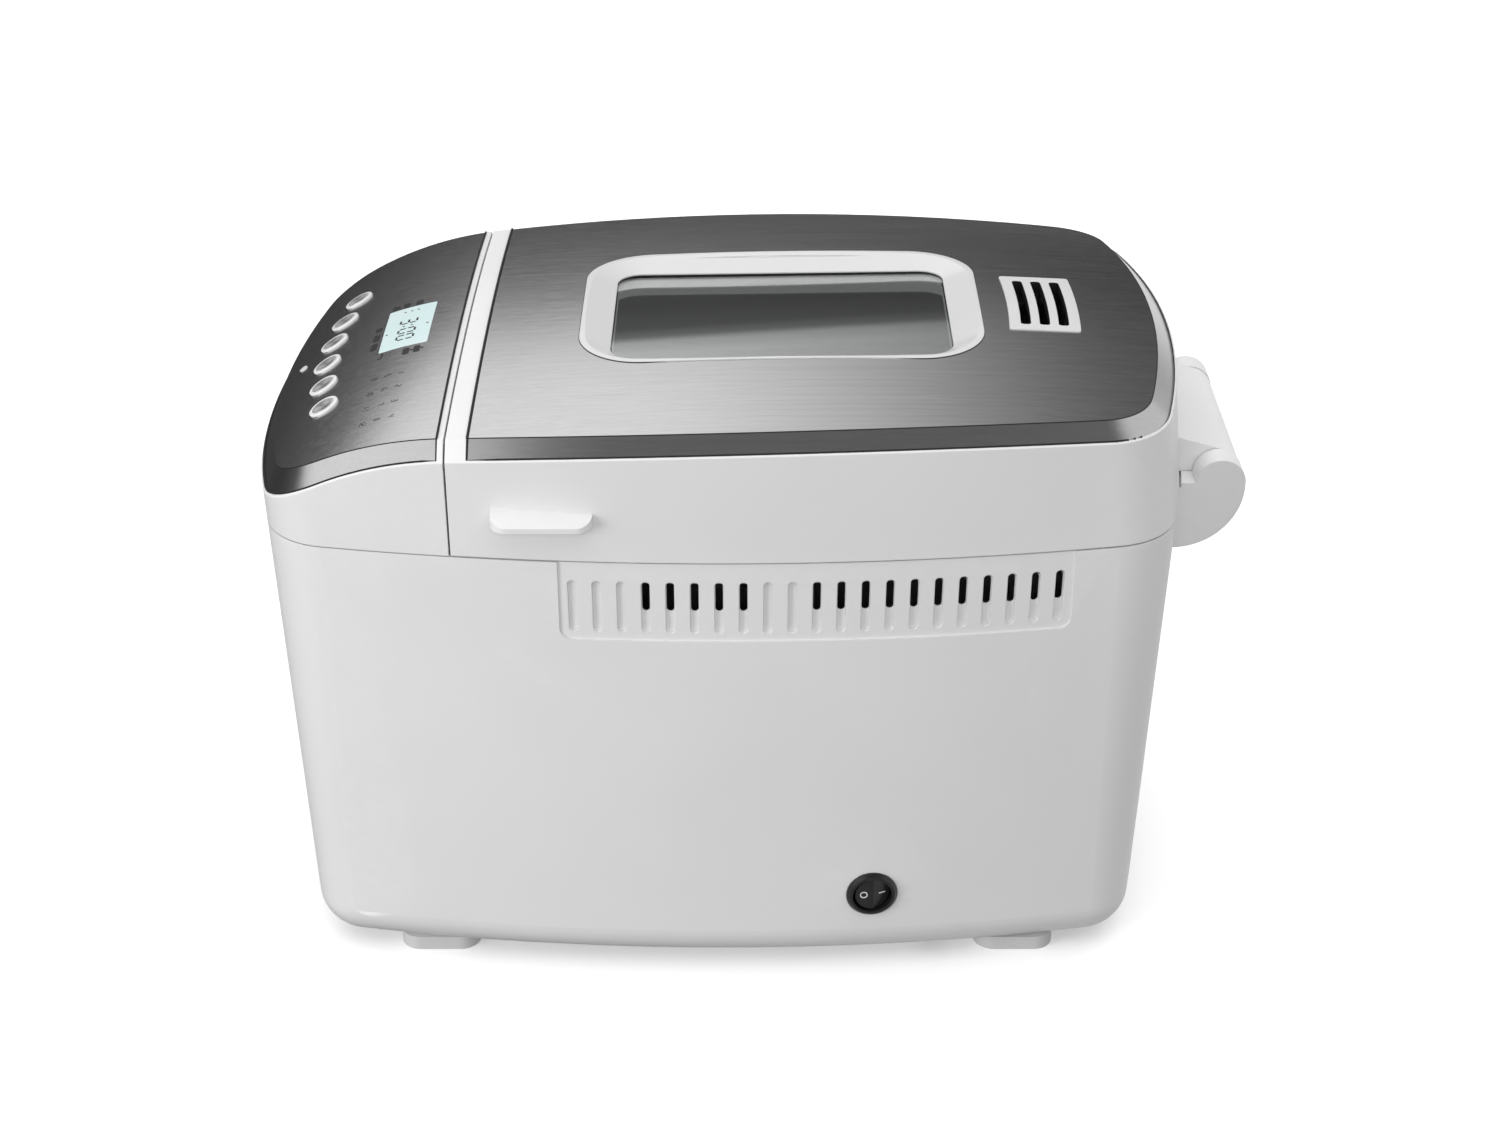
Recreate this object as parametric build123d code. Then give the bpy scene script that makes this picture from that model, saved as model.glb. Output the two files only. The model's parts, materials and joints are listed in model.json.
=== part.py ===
from build123d import *
import os
from math import asin, cos, radians, sin, sqrt, tan

# Driving dimensions in millimetres. Z is up, the control panel end is at -Y, the hinge end at +Y
# and the user's right-hand side at +X. The plan centre of the body is at X = 0, Y = 0 here.

# Outer body
SEAM_Z = 215.0
FLOOR_Z = 4.0
HALF_WIDTH = 127.6
HALF_LENGTH = 203.0
SIDE_RADIUS = 905.0
END_RADIUS = 380.0
CORNER_RADIUS = 33.0
MIN_CORNER_RADIUS = 6.0
WALL_DRAFT = 3.0
END_DRAFT = 2.4
REAR_LEAN = 5.4
FLOOR_FILLET = 20.0
CASING_WALL = 2.8
FIT = 0.3
BIG = 900.0

# Barrel-shaped top: an arch along the length and a dome across the width
CROWN_RISE = 64.9
CROWN_Y = 54.0
LID_ARCH_RADIUS = 1900.0
COVER_ARCH_RADIUS = 155.0
DOME_RADIUS = 1163.0
LID_SWEEP = 8.0
LID_CROWN_DEPTH = 104.0
COVER_SWEEP_BACK = 20.0
COVER_SWEEP_FRONT = 60.0
COVER_CROWN_DEPTH = 108.0
BEVEL_RUN = 7.0
BEVEL_DROP = 6.7
SPLIT_Y = -112.1
SPLIT_GAP = 0.8
SEAM_GAP = 0.8
COVER_SEAM_GAP = 0.5
DECK_THICKNESS = 2.2

# Brushed steel facias
FACIA_THICKNESS = 0.8
FACIA_LIP = 1.2
FACIA_SKIRT = 1.0
FACIA_GAP = 0.4
LID_STRIP = 9.5
COVER_STRIP = 3.3

# Lid window
WINDOW_Y = 25.7
WINDOW_LENGTH = 175.0
WINDOW_WIDTH = 121.5
WINDOW_RADIUS = 29.0
SIGHT_LENGTH = 148.0
SIGHT_WIDTH = 95.0
SIGHT_RADIUS = 11.0
FRAME_PROUD = 0.4
FRAME_RIM = 0.8
FRAME_DISH = 5.2
FRAME_INNER_EDGE = 0.9
FRAME_LEDGE = 4.0
GLASS_THICKNESS = 3.0
GLASS_OVERLAP = 5.0
SEAL_THICKNESS = 1.5
SEAL_WIDTH = 5.0

# Steam vent in the lid
VENT_Y = 141.0
VENT_LENGTH = 31.0
VENT_WIDTH = 60.0
VENT_BULGE_RADIUS = 400.0
VENT_CORNER = 1.5
VENT_LEDGE = 2.0
VENT_DEPTH = 5.0
VENT_SLOTS = 3
VENT_SLOT_WIDTH = 4.5
VENT_SLOT_PITCH = 8.3
VENT_SLOT_LENGTH = 49.0

# Lid liner and its screws
LINER_RISE = 14.0
LINER_SHEET = 1.0
FUNNEL_LENGTH = 190.0
FUNNEL_WIDTH = 132.0
FUNNEL_RADIUS = 30.0
LID_BOSS_RADIUS = 4.5
LID_BOSS_X = 88.0
LID_BOSS_FRONT = 22.0
LID_BOSS_BACK = 38.0
LINER_HOLES = 5
LINER_HOLE_RADIUS = 2.0
LINER_HOLE_PITCH = 12.0

# Grip ledge on each side of the lid
GRIP_Y = -73.0
GRIP_LENGTH = 42.0
GRIP_REACH = 8.5
GRIP_RADIUS = 7.0
GRIP_UNDER = 17.6
GRIP_EDGE = 2.6
GRIP_SLOPE = 4.2

# Hinge
HINGE_OFFSET = 13.8
HINGE_RISE = 2.0
KNUCKLE_RADIUS = 10.4
KNUCKLE_HALF = 43.5
TONGUE_SLOPE = 16.0
EAR_RADIUS = 10.8
EAR_THICKNESS = 12.0
EAR_GAP = 0.5
EAR_SINK = 5.5
EAR_DROP = 1.5
BRACKET_PLATE = 3.0
BRACKET_DROP = 23.0
BRACKET_HEIGHT = 17.0
HINGE_PIN_RADIUS = 2.5
HINGE_PIN_COVER = 3.0
RUNNING_FIT = 0.05

# Side vents
BAND_Y = 40.0
BAND_LENGTH = 215.0
BAND_HEIGHT = 37.5
BAND_DEPTH = 0.8
BAND_CORNER = 5.0
SLOT_COUNT = 21
SLOT_PITCH = 10.18
SLOT_WIDTH = 3.8
SLOT_LENGTH = 25.0
SLOT_TOP = 9.0
SLOT_DEPTH = 1.5
SLOT_OPEN = 15.0
SLOT_MARGIN = 0.3
BLIND_SLOTS = (0, 1, 2, 8, 9)

# Rocker switch
SWITCH_Y = 66.4
SWITCH_Z = 42.7
BEZEL_RADIUS = 11.5
BEZEL_PROUD = 2.2
BEZEL_CHAMFER = 1.4
SWITCH_BODY_RADIUS = 9.9
SWITCH_BODY_DEPTH = 24.0
SWITCH_FLOOR = 4.0
WELL_RADIUS = 8.8
ROCKER_RADIUS = 8.0
ROCKER_TILT = 10.0
ROCKER_PIVOT_DEPTH = 4.5
ROCKER_TOP = 3.4
ROCKER_BOTTOM = 2.2
ROCKER_PIN_RADIUS = 1.5

# Cord inlet in the lower edge
CORD_Y = 96.0
CORD_WIDTH = 13.0
CORD_HEIGHT = 6.0
GLAND_LENGTH = 24.0
GLAND_WIDTH = 22.0
GLAND_HEIGHT = 16.0

# Base plate, feet and screws
BASE_MARGIN = 1.5
BASE_RIM = 9.0
BASE_FLANGE = 2.0
FOOT_X = 88.0
FOOT_FRONT_Y = -130.0
FOOT_BACK_Y = 133.0
FOOT_LENGTH = 36.0
FOOT_WIDTH = 24.0
FOOT_RADIUS = 9.0
FOOT_SCREW_INSET = 5.0
FOOT_RECESS_RADIUS = 5.0
SCREW_RADIUS = 2.0
SCREW_HEAD_RADIUS = 4.0
SCREW_HEAD = 2.0
SCREW_LENGTH = 18.0

# Inner deck and baking chamber
DECK_DROP = 6.0
INNER_DECK_SHEET = 3.0
LEDGE_WIDTH = 6.0
LEDGE_HEIGHT = 3.0
DECK_FRONT = 6.0
CHAMBER_Y = 42.0
CHAMBER_HALF_WIDTH = 92.0
CHAMBER_HALF_LENGTH = 128.0
CHAMBER_RADIUS = 25.0
CHAMBER_FLOOR_Z = 60.0
CHAMBER_SHEET = 1.0
CHAMBER_FLANGE = 8.0

# Heating element
ELEMENT_RADIUS = 3.25
ELEMENT_WALL_GAP = 11.0
ELEMENT_RISE = 35.0
ELEMENT_BEND = 9.0
TERMINAL_X = 50.0
TERMINAL_REACH = 14.0
SUPPORT_WIDTH = 10.0
SUPPORT_SHEET = 1.2
SUPPORT_HEIGHT = 14.0
SUPPORT_SPACING = 120.0

# Temperature probe
PROBE_RADIUS = 3.0
PROBE_INSIDE = 9.0
PROBE_OUTSIDE = 18.0
PROBE_X = -54.0
PROBE_RISE = 62.0
PROBE_FLANGE_RADIUS = 7.0
PROBE_FLANGE = 2.0

# Drive under the chamber
SHAFT_SPACING = 100.0
SHAFT_RADIUS = 4.0
BUSH_RADIUS = 7.0
BOSS_RADIUS = 11.0
BOSS_RISE = 2.0
BOSS_DROP = 16.0
CASTING_HALF_WIDTH = 64.0
CASTING_HALF_LENGTH = 92.0
CASTING_RADIUS = 14.0
CASTING_PLATE = 5.0
CASTING_GAP = 7.0
LEG_RADIUS = 6.0
LEG_INSET = 8.0
DRIVE_PULLEY_RADIUS = 50.0
MOTOR_PULLEY_RADIUS = 10.0
LINK_PULLEY_RADIUS = 20.0
PULLEY_FACE = 10.0
PULLEY_FLANGE = 1.2
PULLEY_FLANGE_RISE = 3.0
PULLEY_CLEARANCE = 5.0
PULLEY_HUB_RADIUS = 9.0
PULLEY_RIM = 6.0
PULLEY_WEB = 4.0
BELT_THICKNESS = 2.0
BELT_WIDTH = 8.0
DOG_RADIUS = 13.0
DOG_DISC = 3.0
DOG_PEG_RADIUS = 3.0
DOG_PEG_ORBIT = 9.0
DOG_PEG_HEIGHT = 7.0

# Motor
MOTOR_Y = -128.0
MOTOR_HALF = 34.0
MOTOR_CORNER = 10.0
MOTOR_HEIGHT = 48.0
MOTOR_CAP_RADIUS = 24.0
MOTOR_CAP = 9.0
MOTOR_SHAFT_RADIUS = 4.0
MOTOR_BRACKET_HALF_WIDTH = 46.0
MOTOR_BRACKET_HALF_LENGTH = 36.0
MOTOR_BRACKET_SHEET = 4.0
MOTOR_BRACKET_Z = 56.0
MOTOR_POST_RADIUS = 6.0
MOTOR_POST_INSET = 8.0
CAPACITOR_RADIUS = 13.5
CAPACITOR_HEIGHT = 46.0
CAPACITOR_X = 63.0
POWER_BOARD_X = -64.0
POWER_BOARD_WIDTH = 32.0
POWER_BOARD_LENGTH = 66.0
POWER_BOARD_RISE = 12.0
POWER_PART_GAP = 8.0
TRANSFORMER_INSET = 6.0
TRANSFORMER_HEIGHT = 26.0
RELAY_INSET = 10.0
RELAY_HEIGHT = 16.0
BOARD_SHEET = 1.6

# Bread pan
PAN_HALF_WIDTH = 68.0
PAN_HALF_LENGTH = 108.0
PAN_RADIUS = 26.0
PAN_TAPER = 6.0
PAN_SHEET = 1.4
PAN_TOP_CLEARANCE = 15.0
PAN_FLOOR_RISE = 24.0
PAN_LIP = 4.0
PAN_LIP_SHEET = 2.0
SKIRT_RADIUS = 32.0
SKIRT_SHEET = 2.0
PAN_BUSH_RADIUS = 7.0
PAN_BUSH_LENGTH = 12.0
PAN_BUSH_FLANGE_RADIUS = 10.0
PAN_BUSH_FLANGE = 2.0
PAN_SHAFT_RADIUS = 4.0
PAN_SHAFT_TOP = 34.0
WING_LENGTH = 24.0
WING_WIDTH = 7.0
WING_HEIGHT = 6.0
WING_GAP = 1.0
EAR_PLATE = 3.0
EAR_PLATE_WIDTH = 16.0
BAIL_RADIUS = 2.5
BAIL_RISE = 4.5
BAIL_GAP = 2.0
BAIL_REACH = 117.0
BAIL_BEND = 26.0
CLIP_WIDTH = 30.0
CLIP_SHEET = 1.2
CLIP_HEIGHT = 15.0
CLIP_FOOT = 14.0

# Kneading paddles
PADDLE_HUB_RADIUS = 8.5
PADDLE_HUB_HEIGHT = 24.0
PADDLE_REACH = 44.0
PADDLE_BLADE_HEIGHT = 30.0
PADDLE_BLADE_ROOT = 10.0
PADDLE_BLADE_TIP = 4.0
PADDLE_FLOOR_GAP = 2.5

# Control panel
BUTTON_COUNT = 6
BUTTON_PITCH = 23.5
BUTTON_ROW_X = -1.2
BUTTON_ROW_Y = -175.5
BUTTON_ROW_RADIUS = 327.0
BUTTON_RADIUS = 7.0
BUTTON_PROUD = 1.8
BUTTON_EDGE = 0.6
BUTTON_DISH_RADIUS = 5.3
BUTTON_DISH = 0.5
BUTTON_TRAVEL = 1.0
BUTTON_FLANGE_RADIUS = 8.6
BUTTON_FLANGE = 1.4
STEM_RADIUS = 2.5
STEM_GAP = 0.45
KEY_SIDE = 6.2
KEY_HEIGHT = 3.6
KEY_TIP_RADIUS = 1.75
KEY_TIP = 1.4
BOARD_DEPTH = 17.0
BOARD_HALF_WIDTH = 82.0
BOARD_FRONT = 10.0
BOARD_BACK = 46.0
BOARD_POST_RADIUS = 4.0
BOARD_POST_INSET = 6.0
DISPLAY_X = 1.5
DISPLAY_Y = -139.8
DISPLAY_WIDTH = 45.0
DISPLAY_LENGTH = 22.6
DISPLAY_RADIUS = 0.8
LENS_DEPTH = 4.2
MODULE_MARGIN = 3.0
MODULE_DEPTH = 4.5
MODULE_LEG_RADIUS = 1.5
INDICATOR_X = -3.5
INDICATOR_Y = -188.5
INDICATOR_RADIUS = 2.0
INDICATOR_FLANGE_RADIUS = 3.4
INDICATOR_DEPTH = 11.0

# Derived places
CROWN_Z = SEAM_Z + CROWN_RISE
FLOOR_TOP_Z = FLOOR_Z + CASING_WALL
BASE_OVERLAP = FLOOR_FILLET + BASE_MARGIN
BASE_OPENING = BASE_OVERLAP + BASE_RIM
FOOT_SCREW_X = FOOT_X - FOOT_SCREW_INSET
BASE_TOP_Z = FLOOR_TOP_Z + BASE_FLANGE
DECK_Z = SEAM_Z - DECK_DROP
LEDGE_Z = DECK_Z - INNER_DECK_SHEET
CHAMBER_TOP_Z = CHAMBER_FLOOR_Z + CHAMBER_SHEET
CHAMBER_RIM_Z = DECK_Z + CHAMBER_SHEET
LINER_Z = SEAM_Z + LINER_RISE
HINGE_Y = HALF_LENGTH + HINGE_OFFSET
HINGE_Z = SEAM_Z + HINGE_RISE
EAR_INNER_X = KNUCKLE_HALF + EAR_GAP
EAR_OUTER_X = EAR_INNER_X + EAR_THICKNESS
PIN_HALF = EAR_OUTER_X - HINGE_PIN_COVER
SHAFT_Y = (CHAMBER_Y - SHAFT_SPACING / 2, CHAMBER_Y + SHAFT_SPACING / 2)
PAN_FLOOR_Z = CHAMBER_TOP_Z + PAN_FLOOR_RISE
PAN_RIM_Z = SEAM_Z - PAN_TOP_CLEARANCE
BAIL_Z = PAN_RIM_Z + BAIL_RISE
BAIL_X = PAN_HALF_WIDTH + PAN_LIP + BAIL_GAP + BAIL_RADIUS
DRIVE_PULLEY_Z = BASE_TOP_Z + PULLEY_CLEARANCE
PULLEY_HEIGHT = PULLEY_FACE + 2 * PULLEY_FLANGE
LINK_PULLEY_Z = DRIVE_PULLEY_Z + PULLEY_HEIGHT + PULLEY_FLANGE
CASTING_Z = CHAMBER_FLOOR_Z - CASTING_GAP - CASTING_PLATE
BOSS_TOP_Z = CHAMBER_TOP_Z + BOSS_RISE
BOSS_FOOT_Z = BOSS_TOP_Z - BOSS_DROP
DOG_Z = BOSS_TOP_Z + FIT
DOG_TOP_Z = DOG_Z + DOG_DISC
WING_Z = DOG_TOP_Z + WING_GAP
ELEMENT_Z = CHAMBER_TOP_Z + ELEMENT_RISE
PROBE_Z = CHAMBER_TOP_Z + PROBE_RISE
MOTOR_Z = MOTOR_BRACKET_Z + MOTOR_BRACKET_SHEET
CASTING_LEG_X = CASTING_HALF_WIDTH - LEG_INSET
CASTING_LEG_Y = CASTING_HALF_LENGTH - LEG_INSET
MOTOR_POST_X = MOTOR_BRACKET_HALF_WIDTH - MOTOR_POST_INSET
MOTOR_POST_Y = MOTOR_BRACKET_HALF_LENGTH - MOTOR_POST_INSET
FACIA_DECK = FACIA_THICKNESS + DECK_THICKNESS


def cylinder_at(x, y, z_low, z_high, radius):
    """Upright cylinder between two heights."""
    return Pos(x, y, z_low) * extrude(Circle(radius), z_high - z_low)


def block(x_low, x_high, y_low, y_high, z_low, z_high):
    """Box between two corners."""
    size = (x_high - x_low, y_high - y_low, z_high - z_low)
    return Pos((x_low + x_high) / 2, (y_low + y_high) / 2, (z_low + z_high) / 2) * Box(*size)


def side_of(y, sign):
    """Half space on one side of a cross plane of the body."""
    return block(-BIG, BIG, *sorted((y, y + sign * BIG)), -BIG, BIG)


def slab(z_low, z_high):
    """Everything between two heights."""
    return block(-BIG, BIG, -BIG, BIG, z_low, z_high)


def hull(y_a, radius_a, y_b, radius_b):
    """Plan outline round two circles on the centre line, as a belt runs."""
    span = y_b - y_a
    turn = asin((radius_a - radius_b) / span)
    corners = []
    for y, radius in ((y_a, radius_a), (y_b, radius_b)):
        corners.append((radius * cos(turn), y + radius * sin(turn)))
    (x_a, tangent_a), (x_b, tangent_b) = corners
    web = Polygon((-x_a, tangent_a), (x_a, tangent_a), (x_b, tangent_b), (-x_b, tangent_b), align=None)
    return web + Pos(0, y_a) * Circle(radius_a) + Pos(0, y_b) * Circle(radius_b)


def draft_at(z):
    """How far the side wall stands inside the seam outline at a height."""
    return (SEAM_Z - z) * tan(radians(WALL_DRAFT))


def plan(inset, z, rear_draft):
    """Body outline at a height, moved inwards by an inset."""
    fall = SEAM_Z - z
    side = Circle(SIDE_RADIUS - inset - draft_at(z))
    front = Circle(END_RADIUS - inset - fall * tan(radians(END_DRAFT)))
    rear = Circle(END_RADIUS - inset - fall * tan(radians(rear_draft)))
    side_x = SIDE_RADIUS - HALF_WIDTH
    end_y = END_RADIUS - HALF_LENGTH
    outline = Pos(side_x, 0) * side & Pos(-side_x, 0) * side
    outline = outline & Pos(0, end_y) * front & Pos(0, -end_y) * rear
    corner = max(CORNER_RADIUS - inset - draft_at(z), MIN_CORNER_RADIUS)
    return Pos(0, 0, z) * fillet(outline.vertices(), corner)


def column(inset, z_low, z_high, rear_draft=END_DRAFT):
    """Solid of the drafted outline between two heights."""
    return loft([plan(inset, z_low, rear_draft), plan(inset, z_high, rear_draft)], ruled=True)


def lid_column(inset, z_low, z_high):
    """Solid of the lid's walls, which lean in at the rear."""
    return column(inset, z_low, z_high, -REAR_LEAN)


def wall_plane(y, z):
    """Plane on the right-hand wall: local X runs back, local Y up and local Z outwards."""
    radius = SIDE_RADIUS - draft_at(z)
    lean = asin(y / radius)
    x = radius * cos(lean) - (SIDE_RADIUS - HALF_WIDTH)
    slope = radians(WALL_DRAFT)
    outward = Vector(cos(lean) * cos(slope), sin(lean) * cos(slope), -sin(slope))
    return Plane(origin=(x, y, z), x_dir=(-sin(lean), cos(lean), 0), z_dir=outward)


class Crown:
    """Barrel surface: an arch about a cross axis, domed across the width."""

    def __init__(self, axis_y, axis_z, arch, turn_low, turn_high, depth):
        self.axis_y = axis_y
        self.axis_z = axis_z
        self.arch = arch
        self.turn_low = turn_low
        self.turn_high = turn_high
        self.depth = depth

    def height(self, x, y):
        """Height of the surface above the floor."""
        reach = self.arch - DOME_RADIUS + sqrt(DOME_RADIUS ** 2 - x ** 2)
        return self.axis_z + sqrt(reach ** 2 - (y - self.axis_y) ** 2)

    def plane(self, x, y):
        """Plane on the surface, local Z outwards and local X across."""
        z = self.height(x, y)
        reach = self.arch - DOME_RADIUS + sqrt(DOME_RADIUS ** 2 - x ** 2)
        fall = x / sqrt(DOME_RADIUS ** 2 - x ** 2)
        outward = Vector(fall * reach, y - self.axis_y, z - self.axis_z)
        return Plane(origin=(x, y, z), x_dir=Vector(0, 1, 0).cross(outward), z_dir=outward)

    def solid(self, drop):
        """Everything below the surface lowered by a drop."""
        half = HALF_WIDTH + CORNER_RADIUS
        radius = DOME_RADIUS - drop
        top = self.axis_z + self.arch - drop
        edge = top - radius + sqrt(radius ** 2 - half ** 2)
        foot = self.axis_z + self.arch - self.depth
        arc = ThreePointArc((-half, edge), (0, top), (half, edge))
        sides = Polyline((half, edge), (half, foot), (-half, foot), (-half, edge))
        section = Plane.XZ.offset(-self.axis_y) * make_face([arc] + sides.edges())
        axis = Axis((0, self.axis_y, self.axis_z), (1, 0, 0))
        return revolve(section, axis, self.turn_high - self.turn_low).rotate(axis, self.turn_low)


SPLIT_TURN = asin((CROWN_Y - SPLIT_Y) / LID_ARCH_RADIUS)
ARCH_STEP = LID_ARCH_RADIUS - COVER_ARCH_RADIUS
LID_CROWN = Crown(
    CROWN_Y, CROWN_Z - LID_ARCH_RADIUS, LID_ARCH_RADIUS, -LID_SWEEP, LID_SWEEP, LID_CROWN_DEPTH)
COVER_CROWN = Crown(
    CROWN_Y - ARCH_STEP * sin(SPLIT_TURN),
    CROWN_Z - LID_ARCH_RADIUS + ARCH_STEP * cos(SPLIT_TURN),
    COVER_ARCH_RADIUS, -COVER_SWEEP_BACK, COVER_SWEEP_FRONT, COVER_CROWN_DEPTH)


class Cap:
    """Upper shell under a crown, on one side of the split plane."""

    def __init__(self, crown, walls, sign, base_z, strip):
        self.crown = crown
        self.walls = walls
        self.sign = sign
        self.base_z = base_z
        self.end_y = SPLIT_Y + sign * SPLIT_GAP / 2
        self.facia_y = SPLIT_Y + sign * strip

    def facia_zone(self, gap):
        """Space behind the white strip and above the skirt, widened by a gap."""
        below = self.crown.solid(BEVEL_DROP + FACIA_SKIRT + gap)
        return side_of(self.facia_y - self.sign * gap, self.sign) - below

    def form(self, inset, drop, end_inset=0.0):
        """Closed form with the bevelled rim, moved inwards and lowered."""
        end_y = self.end_y + self.sign * end_inset
        raw = self.walls(inset, self.base_z, CROWN_Z + BEVEL_DROP) & self.crown.solid(drop)
        raw = raw & side_of(end_y, self.sign)
        top = max(raw.faces(), key=lambda face: face.center().Z)
        rim = [edge for edge in top.edges() if abs(edge.center().Y - end_y) > FIT]
        return chamfer(rim, BEVEL_RUN, BEVEL_DROP, reference=top)

    def hollow(self):
        """Inside of the shell."""
        return self.form(CASING_WALL, FACIA_DECK, CASING_WALL)

    def seat(self):
        """Core that carries the facia."""
        return self.form(FACIA_LIP + FACIA_THICKNESS, FACIA_THICKNESS)

    def facia(self):
        """Steel sheet over the top and the bevel."""
        return (self.form(FACIA_LIP, 0) - self.seat()) & self.facia_zone(0)

    def shell(self):
        """Moulded shell with a pocket for the facia and a shadow gap round it."""
        walls = self.walls(FACIA_LIP - FACIA_GAP, self.base_z, CROWN_Z + BEVEL_DROP)
        pocket = (walls & self.facia_zone(FACIA_GAP)) - self.seat()
        return self.form(0, 0) - pocket - self.hollow()


LID = Cap(LID_CROWN, lid_column, 1, SEAM_Z + SEAM_GAP, LID_STRIP)
COVER = Cap(COVER_CROWN, column, -1, SEAM_Z + COVER_SEAM_GAP, COVER_STRIP)

WINDOW_PLANE = LID_CROWN.plane(0, WINDOW_Y)
RIM_SAG = min((WINDOW_WIDTH / 2) ** 2 / (2 * DOME_RADIUS), (WINDOW_LENGTH / 2) ** 2 / (2 * LID_ARCH_RADIUS))
FRAME_EDGE = FRAME_PROUD - RIM_SAG
GLASS_TOP = FRAME_EDGE - FRAME_DISH - FRAME_INNER_EDGE
GLASS_FOOT = GLASS_TOP - GLASS_THICKNESS
SEAL_FOOT = GLASS_FOOT - SEAL_THICKNESS
BUTTON_PLANE = COVER_CROWN.plane(BUTTON_ROW_X, BUTTON_ROW_Y)
BOARD_PLANE = BUTTON_PLANE.offset(-BOARD_DEPTH)


def on_window(margin, low, high, length=WINDOW_LENGTH, width=WINDOW_WIDTH, radius=WINDOW_RADIUS):
    """Rounded block square to the window, from one local height to another."""
    outline = RectangleRounded(width + 2 * margin, length + 2 * margin, radius + margin)
    return extrude(WINDOW_PLANE.offset(low) * outline, high - low)


def on_sight(margin, low, high):
    """Rounded block of the clear opening with a margin all round."""
    return on_window(margin, low, high, SIGHT_LENGTH, SIGHT_WIDTH, SIGHT_RADIUS)


def curved_band(width, length, shift, z_low, z_high):
    """Upright prism bounded by arcs that follow the rear end of the lid."""
    centre = VENT_Y + shift - VENT_BULGE_RADIUS
    ring = Circle(VENT_BULGE_RADIUS + length / 2) - Circle(VENT_BULGE_RADIUS - length / 2)
    gate = Pos(0, VENT_Y + shift) * Rectangle(width, 3 * length)
    band = Pos(0, centre) * ring & gate
    band = fillet(band.vertices(), VENT_CORNER)
    return Pos(0, 0, z_low) * extrude(band, z_high - z_low)


def vent_opening(margin):
    """Space that the steam vent takes up in the lid."""
    return curved_band(VENT_WIDTH + 2 * margin, VENT_LENGTH + 2 * margin, 0, SEAM_Z, CROWN_Z + CROWN_RISE)


def lid_boss_places():
    """Plan places of the screws that hold the lid liner."""
    front = LID.end_y + LID_BOSS_FRONT
    back = HALF_LENGTH - LID_BOSS_BACK
    return [(sign * LID_BOSS_X, y) for sign in (-1, 1) for y in (front, back)]


def grip_ledge():
    """Finger ledge on both sides of the lid, rounded in plan and sloped on top."""
    low = SEAM_Z + GRIP_UNDER
    wall = wall_plane(GRIP_Y, low).origin.X
    edge = wall + GRIP_REACH
    root = wall - CASING_WALL
    rise = GRIP_SLOPE * (edge - root) / GRIP_REACH
    corners = [(root, low), (edge, low), (edge, low + GRIP_EDGE), (root, low + GRIP_EDGE + rise)]
    section = Polygon(*corners, align=None)
    half = GRIP_LENGTH / 2
    bar = extrude(Plane.XZ.offset(-GRIP_Y - half) * section, GRIP_LENGTH)
    outline = RectangleRounded(2 * (edge - root + GRIP_RADIUS), GRIP_LENGTH, GRIP_RADIUS)
    rounded = Pos(root - GRIP_RADIUS, GRIP_Y, low) * extrude(outline, CROWN_RISE)
    ledge = bar & rounded
    return ledge + mirror(ledge, Plane.YZ)


def knuckle():
    """Lid side of the hinge: a barrel and the sloped tongue that carries it."""
    turn = radians(90 - TONGUE_SLOPE)
    touch_y = HINGE_Y + KNUCKLE_RADIUS * cos(turn)
    touch_z = HINGE_Z + KNUCKLE_RADIUS * sin(turn)
    root_y = HALF_LENGTH - CORNER_RADIUS
    root_z = touch_z + (touch_y - root_y) * tan(radians(TONGUE_SLOPE))
    under_z = LID.base_z + SEAM_GAP
    corners = [(root_y, under_z), (HINGE_Y, under_z), (touch_y, touch_z), (root_y, root_z)]
    section = Polygon(*corners, align=None) + Pos(HINGE_Y, HINGE_Z) * Circle(KNUCKLE_RADIUS)
    body = extrude(Plane.YZ.offset(-KNUCKLE_HALF) * section, 2 * KNUCKLE_HALF)
    return body - LID.hollow() - hinge_bore(HINGE_PIN_RADIUS + RUNNING_FIT, KNUCKLE_HALF)


def hinge_bore(radius, half):
    """Cylinder along the hinge axis."""
    return extrude(Plane.YZ.offset(-half) * Pos(HINGE_Y, HINGE_Z) * Circle(radius), 2 * half)


def lid_shell():
    """White lid with grips, knuckle and screw bosses."""
    shell = LID.shell()
    inside = LID.hollow()
    boss_foot = LINER_Z + LINER_SHEET
    for x, y in lid_boss_places():
        boss = cylinder_at(x, y, boss_foot, CROWN_Z, LID_BOSS_RADIUS) & inside
        shell += boss - cylinder_at(x, y, boss_foot, boss_foot + SCREW_LENGTH, SCREW_RADIUS)
    shell -= on_window(-FRAME_LEDGE, -CROWN_RISE / 2, CROWN_RISE)
    shell -= vent_opening(-VENT_LEDGE)
    return shell + grip_ledge() + knuckle()


def lid_facia():
    """Brushed steel sheet on the lid."""
    return LID.facia() - on_window(0, -CROWN_RISE / 2, CROWN_RISE) - vent_opening(0)


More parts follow.
